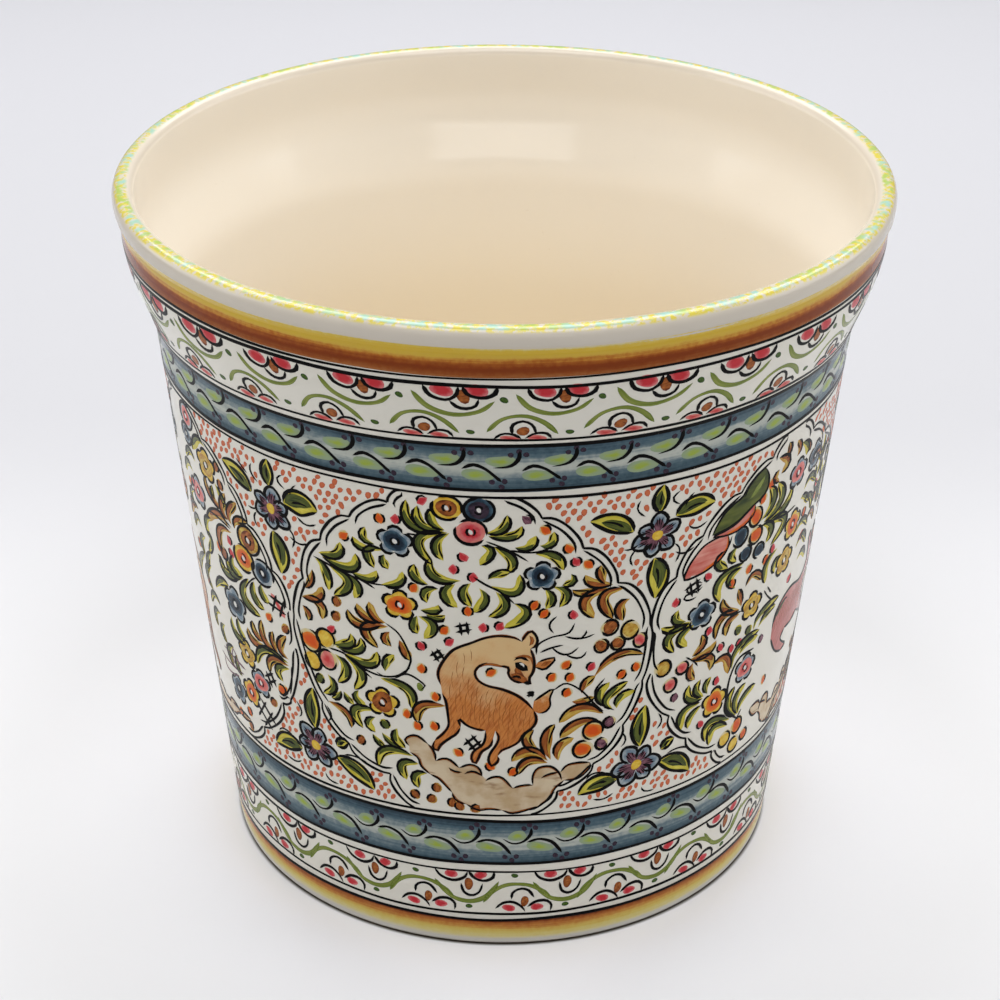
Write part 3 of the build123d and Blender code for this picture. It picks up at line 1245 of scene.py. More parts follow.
def paint_lower_border():
    s = new_sheets(300)
    dabs(s, "reds", ((-3.6, 199.6), (2.0, 199.6)), 4.6, 3.2, 8)
    dabs(s, "browns", ((-0.3, 203.4),), 3.0, 5.0, 6)
    line(s, ((-6.8, 197.9), (-5.6, 200.9), (-3.2, 202.3), (-1.0, 200.6), (-0.4, 198.0)), 0.85)
    line(s, ((-0.3, 198.0), (0.9, 200.9), (2.8, 201.9), (4.4, 200.4), (4.6, 197.9)), 0.9)
    line(s, ((-1.8, 203.2), (-1.3, 206.8), (0.2, 208.2), (1.7, 206.6), (2.4, 203.0)), 0.75)
    trough = ((-6.9, 202.4), (-5.1, 206.9), (-2.9, 209.9), (0.1, 210.7),
              (2.8, 208.7), (4.6, 204.9), (5.5, 202.0))
    s["twigs"].stroke(on_paper(trough), 1.7, WASH)
    dabs(s, "dark_dots", ((8.5, 199.8),), 2.6, 1.6, -15)
    dabs(s, "dark_dots", ((-0.4, 212.8),), 2.5, 1.7, 10)
    laid_each(s, 19, 203, 0.4, 1.2, 0.03, 23, -5.7)
    s = new_sheets(400)
    dabs(s, "browns", ((0.2, 210.4),), 2.8, 4.6)
    line(s, ((-2.4, 209.4), (-2.2, 206.6), (-0.7, 204.9), (0.9, 205.7), (2.1, 208.9)), 0.8)
    dabs(s, "reds", ((-2.9, 213.2), (2.7, 213.0)), 4.7, 2.9, -8)
    line(s, ((-5.6, 213.6), (-4.0, 211.0), (-2.0, 210.7), (-0.3, 212.8), (0.4, 215.0)), 0.8)
    line(s, ((0.8, 212.8), (2.5, 210.6), (4.5, 210.5), (5.6, 212.6), (5.4, 215.2)), 0.85)
    crest = ((-8.0, 211.2), (-6.4, 206.6), (-3.9, 203.6), (-1.4, 202.9),
             (1.4, 203.8), (3.9, 206.6), (5.5, 209.4))
    s["twigs"].stroke(on_paper(crest), 1.6, WASH)
    laid_each(s, 19, 210, 0.4, 1.5, 0.04, 33, 4.3)


# The vines on the blue bands

def paint_vines():
    s = new_sheets(500)
    dabs(s, "limes", ((-0.3, 44.6),), 7.4, 4.2, 0, SHADE, 0.12)
    dabs(s, "limes", ((-3.7, 49.6),), 8.2, 4.0, -5, SHADE, 0.1)
    line(s, ((2.4, 40.4), (2.3, 43.6), (1.1, 46.1), (-1.4, 46.9)), 1.2, "comma")
    line(s, ((0.1, 51.6), (-1.2, 49.4), (-2.6, 47.3), (-4.4, 46.2), (-6.1, 47.9)), 0.85)
    berries = ((1.1, 42.2), (3.4, 41.9), (2.3, 40.8), (-1.4, 51.7), (0.5, 51.3), (0.1, 53.2))
    dabs(s, "navies", berries, 1.6, 1.9, 30, TOUCH)
    laid_each(s, 43, 47, 0.35, 3.0, 0.05, 43, 0.0)
    s = new_sheets(600)
    dabs(s, "limes", ((2.7, 183.2),), 6.8, 3.6, 6, SHADE, 0.12)
    dabs(s, "limes", ((-2.6, 187.7),), 8.4, 3.8, -8, SHADE, 0.1)
    line(s, ((1.6, 190.8), (0.7, 188.4), (-0.6, 185.9), (-2.8, 184.7), (-5.0, 185.9)), 0.85)
    line(s, ((5.2, 180.0), (5.1, 182.8), (3.7, 185.6), (1.8, 186.2), (0.0, 184.2)), 1.05, "comma")
    berries = ((0.4, 191.6), (2.5, 191.5), (1.7, 193.0), (3.9, 180.2), (6.0, 180.1), (4.9, 178.9))
    dabs(s, "navies", berries, 1.8, 2.0, 20, TOUCH)
    laid_each(s, 37, 186, 0.35, 2.5, 0.05, 53, 0.2)


# The panels, drawn in degrees round and millimetres down. The frames go from cusp to cusp
A_FRAME_LEFT = (
    (-15.5, 56.6), (-17.8, 61.3), (-24.4, 69), (-30.2, 80), (-34.6, 96.5), (-37.6, 112), (-33.4, 142),
    (-28.4, 154.9), (-20.4, 162.7), (-16.2, 174.4),
)
A_FRAME_RIGHT = (
    (0.2, 56.9), (6, 64), (12.6, 75.4), (18.7, 89.4), (25.1, 107), (24.6, 128), (21.6, 143.6),
    (16.5, 156.7), (10.1, 165.9), (5.5, 174.4),
)
B_FRAME_LEFT = (
    (51, 57.2), (47.6, 62.4), (40.8, 69.6), (33.5, 80.1), (29.1, 92.3), (25.4, 109.6), (25.9, 126.2),
    (30.7, 145.1), (35.2, 156.8), (42.6, 167.6), (45.7, 174.6),
)
C_FRAME_RIGHT = (
    (-62.6, 57.2), (-57.3, 64.6), (-50.4, 74), (-46.3, 85.7), (-41.4, 98.4), (-38.2, 110.7), (-38, 125),
    (-41, 147), (-43.3, 150.1), (-50.4, 165.7), (-56.4, 174.6),
)
# Leaves as foot, bend, tip and width, and the stems between them
A_GREEN = (
    (-9.2, 69.3, -14, 68, -14.7, 60.5, 2.2), (-9.2, 69, -12.6, 67.2, -13, 61.8, 2),
    (-9, 68.6, -10.9, 66, -10.6, 61.8, 1.8), (-8.6, 69.6, -13, 73, -11, 80.5, 2.2),
    (-8.2, 69.8, -10.3, 74, -9.3, 79, 2), (-20.4, 76.9, -22.2, 75.4, -21.8, 71.9, 1.6),
    (-20.2, 78.3, -22.6, 79, -23.9, 76.1, 1.8), (-19.1, 78.6, -21.6, 79.7, -20.7, 84.9, 2),
    (-18.8, 80.1, -19.1, 82.2, -18.3, 84.7, 1.8), (-30.6, 84.9, -27.2, 83.6, -26.5, 79.4, 2.4),
    (-29.8, 86, -24.8, 87.2, -23.9, 82.2, 2.4), (-24.8, 88.6, -21.6, 89.7, -20.4, 86.5, 2),
    (-19.5, 90.8, -16.7, 89.4, -16, 85.4, 2), (-31.4, 87.6, -29.8, 90.4, -29.4, 97.2, 2.4),
    (-28.6, 89, -25.6, 92.9, -28.2, 98.4, 2.6), (-26.4, 89.7, -24, 93.3, -24.6, 97.7, 2.4),
    (-13.1, 97.9, -10.7, 97.6, -10.3, 95.6, 1.8), (-12.3, 99.4, -10.3, 100.4, -9.3, 99, 1.6),
    (-13.9, 100.4, -14.5, 104, -13.9, 106.5, 2.2), (-13.5, 100.4, -11.3, 103.3, -12.7, 107.9, 2.4),
    (-6.7, 86.1, -10.7, 85.4, -11.3, 79.7, 2.4), (-11.9, 88.3, -13.9, 86.1, -13.9, 82.2, 2.2),
    (-7.5, 87.6, -9.1, 91.1, -7.3, 95.4, 2.6), (-10.3, 89.7, -12.3, 91.1, -12.1, 94.7, 2),
    (-2.4, 69, 0, 67.6, 0.6, 63.3, 2), (-2, 70.1, 1.6, 70.1, 2.8, 66.9, 2), (2, 74, 4, 74, 5, 70.4, 2),
    (5.8, 73.6, 7.4, 73.3, 7.8, 69.4, 2), (-3.2, 73.6, -1.8, 75.4, -3.4, 79.8, 2),
    (-1.2, 74, 1.4, 78.3, 0.8, 82.6, 2.2), (5.2, 76.5, 8, 77.6, 9.4, 82.2, 2.4),
    (10.8, 84.4, 11.2, 86.9, 9.6, 87.9, 1.6), (8, 88.3, 10.2, 91.1, 9.2, 95.4, 2),
    (6.8, 89, 7.8, 92.6, 7, 95.8, 2), (-2.2, 85.1, -0.8, 83.3, 1.2, 82.6, 1.8),
    (-1.6, 87.6, 2, 89.7, 2.6, 84, 2.2), (-5, 86.9, -6.2, 90.4, -5, 94.7, 2.2),
    (-3.6, 88.6, -2.8, 92.6, -4.6, 96.9, 2.2), (-1, 89.7, 0.4, 94.7, -2, 98.3, 2.2),
    (2, 94, 3.8, 97.6, 0.6, 102, 2.4), (-29.8, 117.4, -26.4, 115.6, -26, 112, 2.4),
    (-29, 118.1, -24.8, 117, -24.2, 112.7, 2.4), (-27.2, 119.9, -22.8, 121.3, -21.4, 116.6, 2.6),
    (-20, 122.7, -19.6, 119.1, -18.3, 116.3, 2.2), (-29.4, 121.3, -27.4, 125.6, -29.2, 131.3, 2.4),
    (-27.4, 120.9, -24.6, 125.6, -26, 132, 2.6), (-20.8, 125.9, -16.2, 128.4, -15.7, 134.5, 2.6),
    (-31.4, 130.2, -30.4, 134.2, -32.6, 137.7, 2), (-29, 134.9, -29.8, 137.4, -31, 138.5, 1.5),
    (-28.4, 134.9, -27.8, 136.7, -26.6, 138.5, 1.5), (-25.4, 132.7, -26, 135.6, -24.2, 138.1, 1.8),
    (-22.4, 138.8, -26.4, 140.6, -25.2, 146.3, 2.4), (-22.6, 141.6, -24, 144.1, -22.8, 147, 1.8),
    (-18.5, 144.1, -18.9, 147.7, -17.3, 150.9, 2.2), (-23.2, 148.4, -22.2, 150.9, -21, 152.4, 1.4),
    (-21.4, 147, -20.4, 149.1, -18.3, 151.3, 1.6), (-15.9, 153.8, -20.8, 153.4, -22.4, 159.9, 2.4),
    (-14.9, 156.6, -17.9, 157.7, -17.3, 163.1, 2.4), (-13.5, 159.9, -15.5, 161.3, -15.1, 165.6, 2.2),
    (19.3, 136.3, 18.1, 132, 21.5, 127.4, 2.2), (20.1, 136.3, 20.5, 132.7, 23.1, 131.1, 2.2),
    (18.3, 134.9, 16.7, 130.6, 18.3, 126.3, 2),
)
A_BROWN = (
    (-32.4, 92.2, -32.8, 96.1, -34.1, 99.4, 1.6), (-35, 103.3, -32, 101.9, -30.8, 97.6, 2.4),
    (-35, 103.4, -31.6, 104, -31.4, 109, 2.6), (-35.2, 106.9, -34.2, 109, -34.4, 111.5, 2),
    (-19.4, 104.7, -21.2, 103.3, -22, 98.6, 2), (-20.4, 105.1, -23.2, 103.6, -24.2, 100.1, 2),
    (-20.4, 106.1, -24.4, 107.2, -26, 103.3, 2.4), (-19.1, 106.1, -23, 108.3, -21.2, 114, 2.6),
    (-18.8, 107.9, -19.7, 110.4, -18.7, 112.9, 2), (-17.1, 110.4, -16.1, 114.7, -15.5, 116.9, 2.2),
    (-31.8, 140.6, -28.4, 142.7, -27.5, 147.7, 2), (-9.7, 132.7, -13.9, 134.1, -14.5, 139.9, 2.6),
    (17.6, 89.7, 14.4, 88.3, 13.2, 85.4, 2.2), (16.4, 89, 15.6, 85.4, 15.6, 82.6, 2),
    (16, 91.1, 12.8, 91.5, 11.2, 90.1, 1.8), (17.2, 91.1, 13.4, 94, 14.8, 100.4, 2.6),
    (19.7, 91.9, 16.4, 94, 18, 101.5, 2.6), (20.9, 96.2, 19.3, 98.3, 19.9, 103.3, 2.4),
    (15.7, 122.7, 19.3, 116.3, 23.9, 117.7, 2), (13.6, 128.4, 14.1, 124.9, 15.7, 122.7, 2),
    (17.5, 137.4, 13.6, 134.1, 10.2, 138.5, 2.6), (16.9, 140.2, 13.2, 139.9, 10.4, 144.5, 2.6),
    (12, 131.3, 13.6, 131.6, 15.7, 130.7, 1.8), (8.6, 152.7, 7.6, 145.6, 9, 139.9, 2.6),
    (7.2, 150.6, 4.4, 145.6, 5.4, 141.3, 2.2), (8, 153.1, 4.8, 149.1, 2, 152.7, 2.6),
    (8, 154.1, 4.8, 153.1, 3, 157.7, 2.4), (10, 153.4, 10, 148.4, 12.4, 145.6, 2.4),
)
A_STEMS = (
    ((-31.8, 86.8), (-26.4, 89.4), (-22, 91.1), (-18.8, 91)), ((-24.8, 90), (-22.6, 91.2), (-20.8, 92.9)),
    ((-19.4, 104.7), (-17.1, 108), (-15.5, 114.7), (-15.4, 118), (-16.8, 122.7), (-20, 124.9),
     (-21.6, 123.8)), ((-30.6, 119.5), (-27.6, 119.9), (-25.2, 123), (-22.6, 126.6)),
    ((-24.8, 123.4), (-21.2, 124.9), (-18, 123.8), (-15.5, 120)),
    ((-18.4, 124.9), (-16, 122.4), (-13.1, 125.6), (-13.9, 127.7)), ((-2.6, 71.9), (0.8, 74.9), (4, 79)),
    ((1, 74.9), (5.2, 75.8), (8, 73.3)), ((-4.6, 84.4), (-2.8, 86.9), (0, 90), (2, 94)),
    ((8.6, 126.3), (10.8, 124.1), (13.6, 127.7), (16, 133.4), (17.7, 136.6)),
    ((17.5, 124.1), (15.9, 128.4), (16.9, 133.4), (19.7, 137)),
    ((-14.9, 71.2), (-14.1, 71.4), (-13.3, 71.3)),
    ((5.6, 112.6), (5.8, 109), (8, 106.5), (10.8, 105.4), (11.8, 101.9)),
    ((10.2, 106.5), (12.8, 107.9), (15.2, 106.9)), ((12.8, 107.9), (13.6, 106.6), (13.8, 105.1)),
    ((6.2, 111.9), (8, 110.4), (10, 109.7)), ((8, 110), (10.4, 113.3), (12.6, 111.1)),
    ((10.4, 113.3), (12.8, 115.1), (14, 112.9)), ((8.4, 105.1), (7.6, 101.9), (8.8, 99)),
)
# Small fruit
A_FRUIT = {
    "oranges": (
        (-19.2, 67.6), (-25.6, 76.3), (-14.2, 90.3), (-5.5, 96.9), (-9.4, 104.4), (6.5, 68.3), (10.2, 75.2),
        (13.5, 81.5), (5.1, 94.6), (6.7, 97.7), (-13.5, 119.5), (-11.3, 129.5), (-16.5, 137.6),
        (-14.7, 141.6), (-11.7, 140.9), (-7.6, 150.2), (-1.8, 119.1), (10.6, 117.1), (8.3, 121.4),
        (11.4, 122), (11, 127.6), (20.5, 123.8), (23.1, 122), (2, 157), (-2, 154.9)),
    "reds": (
        (-16.6, 66.9), (-12.2, 59.4), (-6.1, 77.6), (-7.7, 82.2), (-4.6, 84.7), (-8.6, 108.6),
        (-13.4, 111.1), (-29.7, 112), (11.5, 80.1), (11.5, 98.9), (-3.1, 102.6), (-0.4, 102), (15, 119)),
    "browns": (
        (-28.1, 101.1), (-28.5, 106.7), (-25.7, 151.9), (-11.7, 165), (-12.7, 169.7), (-15.8, 168.8),
        (-8.9, 170.2), (-7.6, 171.3), (-4.6, 172)),
    "leaf_greens": ((-33.2, 132.7), (-20.7, 143.3)),
    "plums": ((3.6, 64.5),),
}
# Large fruit as paint, place and radius, and flowers as kind, rim, heart, place and radius
A_LARGE = (
    ("oranges", -34.3, 119.1, 3.2), ("yellows", -31.1, 116.4, 3), ("pinks", -31.1, 124.3, 2.9),
    ("yellows", -34.3, 126.6, 2.9), ("browns", 17.8, 105.4, 2.4), ("ochres", 21.4, 107.6, 2.6),
    ("browns", 16.5, 111.7, 2), ("browns", 19.4, 111.7, 2), ("pinks", 23.4, 112.2, 2),
    ("oranges", 16, 143.4, 3), ("oranges", 14.2, 150.2, 2.7), ("plums", 18.9, 141.3, 1.9),
    ("plums", 17.7, 149.1, 1.8),
)
A_FLOWERS = (
    ("round", "yellows", "browns", -8.5, 61.1, 4), ("round", "blues", "navies", -3.6, 61.3, 4),
    ("round", "pinks", "reds", -4.9, 68.9, 4.2), ("lobed", "petals", "blues", -16.9, 74.7, 5),
    ("lobed", "petals", "blues", 6.2, 84.4, 4.8), ("lobed", "yellows", "oranges", -16.7, 97.2, 5),
    ("lobed", "yellows", "browns", -20.9, 134.9, 5.2),
)
# The deer's outline and the lines along it
DEER = (
    (-10.3, 124.9), (-10.7, 120.6), (-9.9, 116.3), (-8, 111.3), (-5, 108.3), (-2.8, 106.3), (-0.4, 105.4),
    (2, 106.1), (3.2, 107.6), (3.7, 105.4), (4.7, 103.8), (5.7, 106.6), (5.5, 109.2), (4.6, 110.3),
    (5.1, 113), (5.3, 116.3), (5.1, 119.1), (4.5, 121.3), (4.7, 123.4), (3.5, 122.9), (2, 122),
    (1.2, 120.2), (1, 118.4), (1.2, 117.2), (-0.4, 116.3), (-2.4, 115.3), (-3.7, 116.6), (-4.5, 119.1),
    (-4, 122), (-2.4, 124), (0, 125.2), (2.4, 127.4), (4.2, 130.4), (5.4, 133.4), (5.9, 137), (5.3, 139.9),
    (3.7, 142.5), (2.9, 145.4), (1.4, 147.3), (0, 148.6), (-0.7, 150.8), (-0.6, 152.7), (-1.7, 154.7),
    (-2.3, 152.7), (-2, 149.9), (-0.9, 146.3), (-0.5, 143.4), (-1.1, 141), (-1.5, 144.1), (-2, 147),
    (-3.5, 149.3), (-4.1, 152), (-4.7, 154.1), (-5.3, 152), (-4.8, 149.1), (-3.3, 146.6), (-2.8, 143.4),
    (-2.8, 141), (-4.4, 140.6), (-6, 139.4), (-7.4, 137), (-7.1, 140.2), (-7.8, 142.9), (-9.1, 145),
    (-10.7, 147.9), (-11.3, 150.2), (-12.1, 149.1), (-11.7, 146.3), (-10.2, 143.4), (-9.2, 140.2),
    (-9.2, 136.6), (-9.5, 131), (-10.1, 128),
)
DEER_LINES = (
    DEER[0:9], DEER[8:14], DEER[13:20], DEER[19:25], DEER[25:34], DEER[33:41], DEER[40:48], DEER[48:58],
    DEER[57:62], DEER[61:68], DEER[67:74],
)
DEER_EAR = ((5.4, 117), (5.9, 115.4), (7.2, 114.4), (8.8, 114.2), (8, 116.6), (6.9, 118.2))
DEER_TAIL = (
    (5.2, 133.4), (5.4, 129.9), (6.8, 127.8), (8.6, 125.7), (8.1, 129), (8.2, 132), (7.4, 134.2),
    (6.2, 134.6),
)
# Strokes of fur as place, length and lean
DEER_FUR = (
    (-8.6, 124, 7, 0.5), (-8.1, 119, 7, 0.6), (-7.6, 127, 8, 0.5), (-7.2, 115, 7, 0.7), (-6.8, 123, 8, 0.6),
    (-6.5, 131, 6, 0.4), (-6.2, 117, 7, 0.7), (-5.9, 127, 9, 0.7), (-5.4, 121, 8, 0.6), (-5.1, 132, 7, 0.6),
    (-4.8, 126, 8, 0.8), (-4.3, 130, 9, 0.8), (-3.9, 124, 7, 0.8), (-3.5, 134, 6, 0.7), (-3.2, 127, 9, 1.0),
    (-2.7, 131, 8, 0.9), (-2.2, 125.4, 7, 1.0), (-1.9, 134, 6, 0.7), (-1.6, 128, 9, 1.1), (-1, 132, 8, 1.0),
    (-0.6, 126.6, 8, 1.0), (-0.2, 135, 6, 0.7), (0.1, 129, 9, 1.1), (0.6, 133, 8, 1.0), (1.1, 128, 8, 1.0),
    (1.5, 136, 6, 0.8), (1.8, 130.4, 8, 1.1), (2.3, 134, 7, 0.9), (2.8, 130.6, 7, 0.9), (3.2, 137, 5, 0.6),
    (3.5, 132.4, 7, 0.9), (4, 136, 6, 0.7), (4.3, 132.4, 5, 0.6), (4.9, 135, 6, 0.4), (-6.4, 112, 5, -0.5),
    (-5.2, 110.6, 5, -0.4), (1.2, 140, 5, 0.3), (2.4, 140.4, 4, 0.3), (-8.6, 132, 6, 0.2),
    (-8.2, 137, 6, 0.1), (0.4, 144, 4, 0.2),
)
# Shading, eye, nose and mouth as paint, width, height, shape and points
DEER_TOUCHES = (
    ("browns", 2.2, SHADE, "almond", ((2.4, 116.6), (2.7, 119.0), (3.9, 122.0))),
    ("browns", 3.4, SHADE, "almond", ((1.5, 119.4), (3.0, 121.2), (4.4, 122.6))),
    ("browns", 1.0, SHADE, "almond", ((2.0, 113.4), (4.4, 113.2), (5.0, 116.6))),
    ("browns", 1.3, SHADE, "almond", ((4.4, 105.4), (4.9, 107.4), (4.4, 109.2))),
    ("browns", 1.3, SHADE, "almond", ((6.4, 116.8), (7.2, 116.0), (8.2, 115.2))),
    ("browns", 1.1, SHADE, "almond", ((0.4, 117.0), (-2.2, 115.9), (-3.6, 117.2))),
    ("blacks", 0.7, LINE, "line", ((1.9, 114.5), (3.0, 113.4), (4.4, 114.8))),
    ("blacks", 2.5, TOUCH, "almond", ((2.1, 115.2), (3.1, 116.6), (4.3, 118.3))),
    ("whites", 0.8, LINE, "almond", ((2.8, 115.4), (3.4, 116.0), (3.6, 117.0))),
    ("blacks", 0.7, LINE, "line", ((1.6, 120.9), (2.4, 120.3), (3.2, 121.2))),
    ("blacks", 1.3, LINE, "almond", ((3.6, 122.7), (4.2, 122.9), (4.8, 123.3))),
)
# The rocks' outline and the lines in it
ROCKS = (
    (-16.4, 150), (-17.2, 148), (-16.2, 145.9), (-14.7, 145.6), (-13, 148.1), (-11.9, 150.9),
    (-11.7, 154.4), (-10.5, 153.1), (-9.1, 153.3), (-7.5, 156.2), (-5.6, 154.5), (-4, 155.7), (-3.4, 158.9),
    (-2.6, 160), (-0.6, 159.1), (1.2, 160.7), (2, 163.6), (3.8, 162.4), (5.6, 162.6), (5.6, 158.2),
    (6.8, 155.7), (8.9, 155.5), (10.5, 158.2), (11.6, 155.7), (13.6, 155.2), (15.8, 155.8), (15.8, 158.1),
    (13.8, 161.5), (11.2, 161.6), (9.5, 164.8), (8.8, 168.2), (6.6, 171.1), (4.1, 172.8), (1.9, 173.6),
    (0.1, 172.3), (-2.1, 172), (-4.2, 172.5), (-6.4, 170.4), (-8.2, 169.1), (-8.9, 166.1), (-10.3, 163.2),
    (-11.4, 161.1), (-12.8, 159.9), (-14.4, 157.2), (-14.9, 154.2), (-16.3, 152.4),
)
ROCK_LINES = (
    ROCKS[0:5], ROCKS[4:7], ROCKS[6:10], ROCKS[9:13],
    ((-2.9, 160.8), (-1.7, 159.2), (0.1, 159.3), (2, 163.6)), ROCKS[16:19],
    ((5.6, 162.6), (5.5, 159), (6.4, 155.9), (8.6, 155.5), (10.2, 158.2), (10.8, 161.5)), ROCKS[22:26],
    ROCKS[25:29], ROCKS[28:32], ROCKS[31:35], ROCKS[34:38], ROCKS[37:40], ROCKS[39:43], ROCKS[42:46],
    ((-6.6, 158.4), (-5, 157.2), (-3.4, 158.9)), ((7, 160), (8.4, 158.6), (10.2, 158.2)),
    ((-9.4, 156.4), (-8.4, 157.6), (-7, 157.8)),
)
# Panel B: the half that the photo shows
B_GREEN = (
    (56.5, 64.5, 58.7, 67, 59, 70.4, 2), (60, 87.4, 61.6, 87.6, 64, 91.4, 2),
    (47, 84, 49.7, 79, 48.2, 73.5, 2.6), (48, 85, 52.2, 80.5, 50.6, 74, 2.8),
    (49, 86, 54, 84, 55.4, 79, 2.4), (47.5, 86, 50.3, 89, 49.4, 93.5, 2.2),
    (48, 86.5, 54.4, 89, 51.4, 95.5, 2.6), (38.8, 89, 37.6, 92.5, 39.8, 95.6, 2.4),
    (41.7, 89.5, 40.5, 92, 41.8, 94.6, 2), (43.8, 97, 38.6, 99.8, 39.2, 107, 2.6),
    (43.6, 98.4, 40.9, 100.4, 42.4, 104.4, 2.2), (53.5, 99.5, 50.8, 103, 51.2, 109.5, 2.2),
    (55.4, 103, 53.4, 105, 54, 108.4, 1.8), (32, 110, 29.9, 108.5, 30.3, 105.2, 2),
    (33, 110.8, 29.6, 111.6, 27.4, 110, 2), (33.5, 111.5, 29, 114.2, 30.2, 120, 2.4),
    (34, 112.5, 31.4, 115.8, 32.9, 119.6, 2.2), (45, 137, 46, 130.2, 51.5, 128.3, 2.4),
    (46.6, 133, 48.6, 130.4, 51.6, 130.2, 2), (50, 126.4, 51.6, 121.8, 57, 120.6, 2.4),
    (51.5, 126.8, 53.5, 123.8, 56.6, 123.2, 2), (38, 143, 34.9, 141, 34.6, 136, 2.4),
    (38.3, 142.5, 36.4, 139.2, 37, 135.5, 2), (39.2, 142, 38.5, 138.6, 39.6, 136.2, 1.8),
    (37.5, 144.5, 33.9, 146, 34, 152, 2.4), (38, 146, 35.9, 148.4, 35.5, 152.6, 2),
    (46.5, 158, 41, 155, 40.4, 161.2, 2.6), (46, 160, 42.4, 158, 41.6, 163.6, 2.4),
    (48.5, 158, 45.5, 152.4, 46.6, 146, 2.6), (48.8, 157.5, 47.6, 151.4, 50, 147.4, 2.4),
    (49, 158, 50, 153, 53.6, 151, 2.4), (61, 84.6, 63.4, 82, 66.4, 86, 2.2),
    (61.8, 90, 65, 90.6, 66.4, 96, 2.2), (60.4, 99.6, 63, 97.4, 65.8, 101.6, 2),
    (61.8, 106.6, 64.4, 104, 67, 109, 2.2), (63.8, 113, 66.6, 112, 68.6, 116.4, 2),
    (57.2, 131, 59.4, 127, 62, 125.6, 2),
)
B_BROWN = (
    (45.5, 106.5, 47.4, 103.6, 50, 107.5, 2), (44.5, 115.5, 40.3, 114.4, 39.4, 121, 2.2),
    (44.8, 116.3, 42.2, 117.6, 42, 122, 2.4), (44.5, 114.5, 41, 111.8, 40, 107.4, 2.2),
    (45, 113.5, 44.4, 110, 43.6, 106.5, 1.8), (34.5, 124.5, 36.5, 121.4, 36, 118, 2.2),
    (34.3, 125.5, 37.6, 125.6, 39.6, 122.6, 2.2), (35, 127, 38.7, 128.2, 38.9, 132.6, 2.4),
    (34.8, 127.5, 34.3, 131, 35.6, 134, 2.2), (39.8, 131.5, 42.8, 131.4, 43.9, 137.6, 2.6),
    (50.6, 73, 49.2, 71, 50, 68.8, 1.6), (51.8, 66, 52.4, 63, 52, 60.8, 1.8),
    (55.4, 68, 56, 65.4, 54.8, 62.4, 1.8), (59.1, 69.8, 60.2, 68.6, 57.8, 65, 1.6),
    (49.6, 64.2, 52.3, 66.9, 51, 70.1, 2.2), (62.6, 77, 65.2, 74.6, 67.6, 79, 2),
    (65.4, 100, 68, 98.6, 70, 103.4, 2),
)
B_STEMS = (
    ((46, 86), (50, 86.6), (55, 88), (58, 87.6)), ((40, 84.4), (39.4, 88), (38, 91)),
    ((33, 124), (35, 127), (36, 129.4)), ((39.6, 112.4), (42, 114.6), (45.4, 115.6)),
    ((51.4, 113), (53, 116.5), (54.6, 119)), ((52.4, 112.4), (54, 116)), ((50, 157), (48.8, 160)),
)
B_FRUIT = {
    "oranges": (
        (46.7, 76.2), (48.4, 72.3), (41.6, 102.7), (45.6, 100.3), (50.2, 100.6), (57, 152), (62.8, 94.2),
        (68, 93)),
    "reds": (
        (35.8, 96), (29.6, 101.8), (37.6, 117.3), (41, 125.8), (44, 128.6), (46, 128.2), (41.2, 138.7),
        (38.5, 153.4), (52, 98), (63.6, 103.4), (67.6, 88), (61, 117)),
    "leaf_greens": ((45.2, 122.6), (48.3, 125.2)),
    "plums": ((31.6, 138.4), (53.2, 132.6)),
}
B_LARGE = (
    ("blues", 42.1, 86.2, 2.9), ("blues", 44, 93.4, 2.3), ("blues", 47.6, 95.1, 2.3),
    ("oranges", 46.1, 88.4, 2.6), ("oranges", 45.4, 81.4, 2.6), ("oranges", 49.3, 162.7, 2.5),
    ("yellows", 45.9, 165.4, 2.6), ("yellows", 49, 170.1, 2.5), ("ochres", 28.5, 125.5, 2.5),
    ("pinks", 32.5, 127.6, 2.1), ("pinks", 30.3, 132.8, 2.1), ("oranges", 52.2, 168.8, 1.9),
)
B_FLOWERS = (
    ("lobed", "petals", "blues", 35.4, 109.6, 5), ("lobed", "yellows", "ochres", 48.1, 115.7, 4.7),
    ("lobed", "yellows", "oranges", 41.3, 146.8, 5.2), ("lobed", "petals", "pinks", 49.1, 140.1, 5),
    ("lobed", "yellows", "oranges", 58.2, 94.6, 5), ("lobed", "yellows", "ochres", 57.1, 106.8, 5),
    ("lobed", "petals", "pinks", 57, 75.1, 5),
)
GREEN_FEATHER = (
    (46.2, 65), (44.8, 65.2), (43.4, 66.6), (42.1, 68.9), (41.2, 71.4), (39.2, 72.9), (37.5, 75),
    (36.3, 78.2), (35.5, 81.3), (38.4, 80.9), (41, 79.6), (42.6, 78), (44.4, 76.4), (46.3, 75.2),
    (47.4, 72.8), (47.3, 68.6),
)
PINK_FEATHERS = (
    ((44.7, 76.4), (44.7, 79.8), (42.9, 82.3), (40.9, 83.3), (38.4, 83.2), (35.6, 81.9), (38, 81.4),
     (40.4, 80.5), (42.2, 78.8)),
    ((39, 83), (39.5, 87.1), (38.6, 90.4), (36.8, 92.4), (34.1, 94), (30.8, 94.3), (31.2, 90.5),
     (32.3, 87.2), (33.9, 84.2), (36.1, 83)),
)
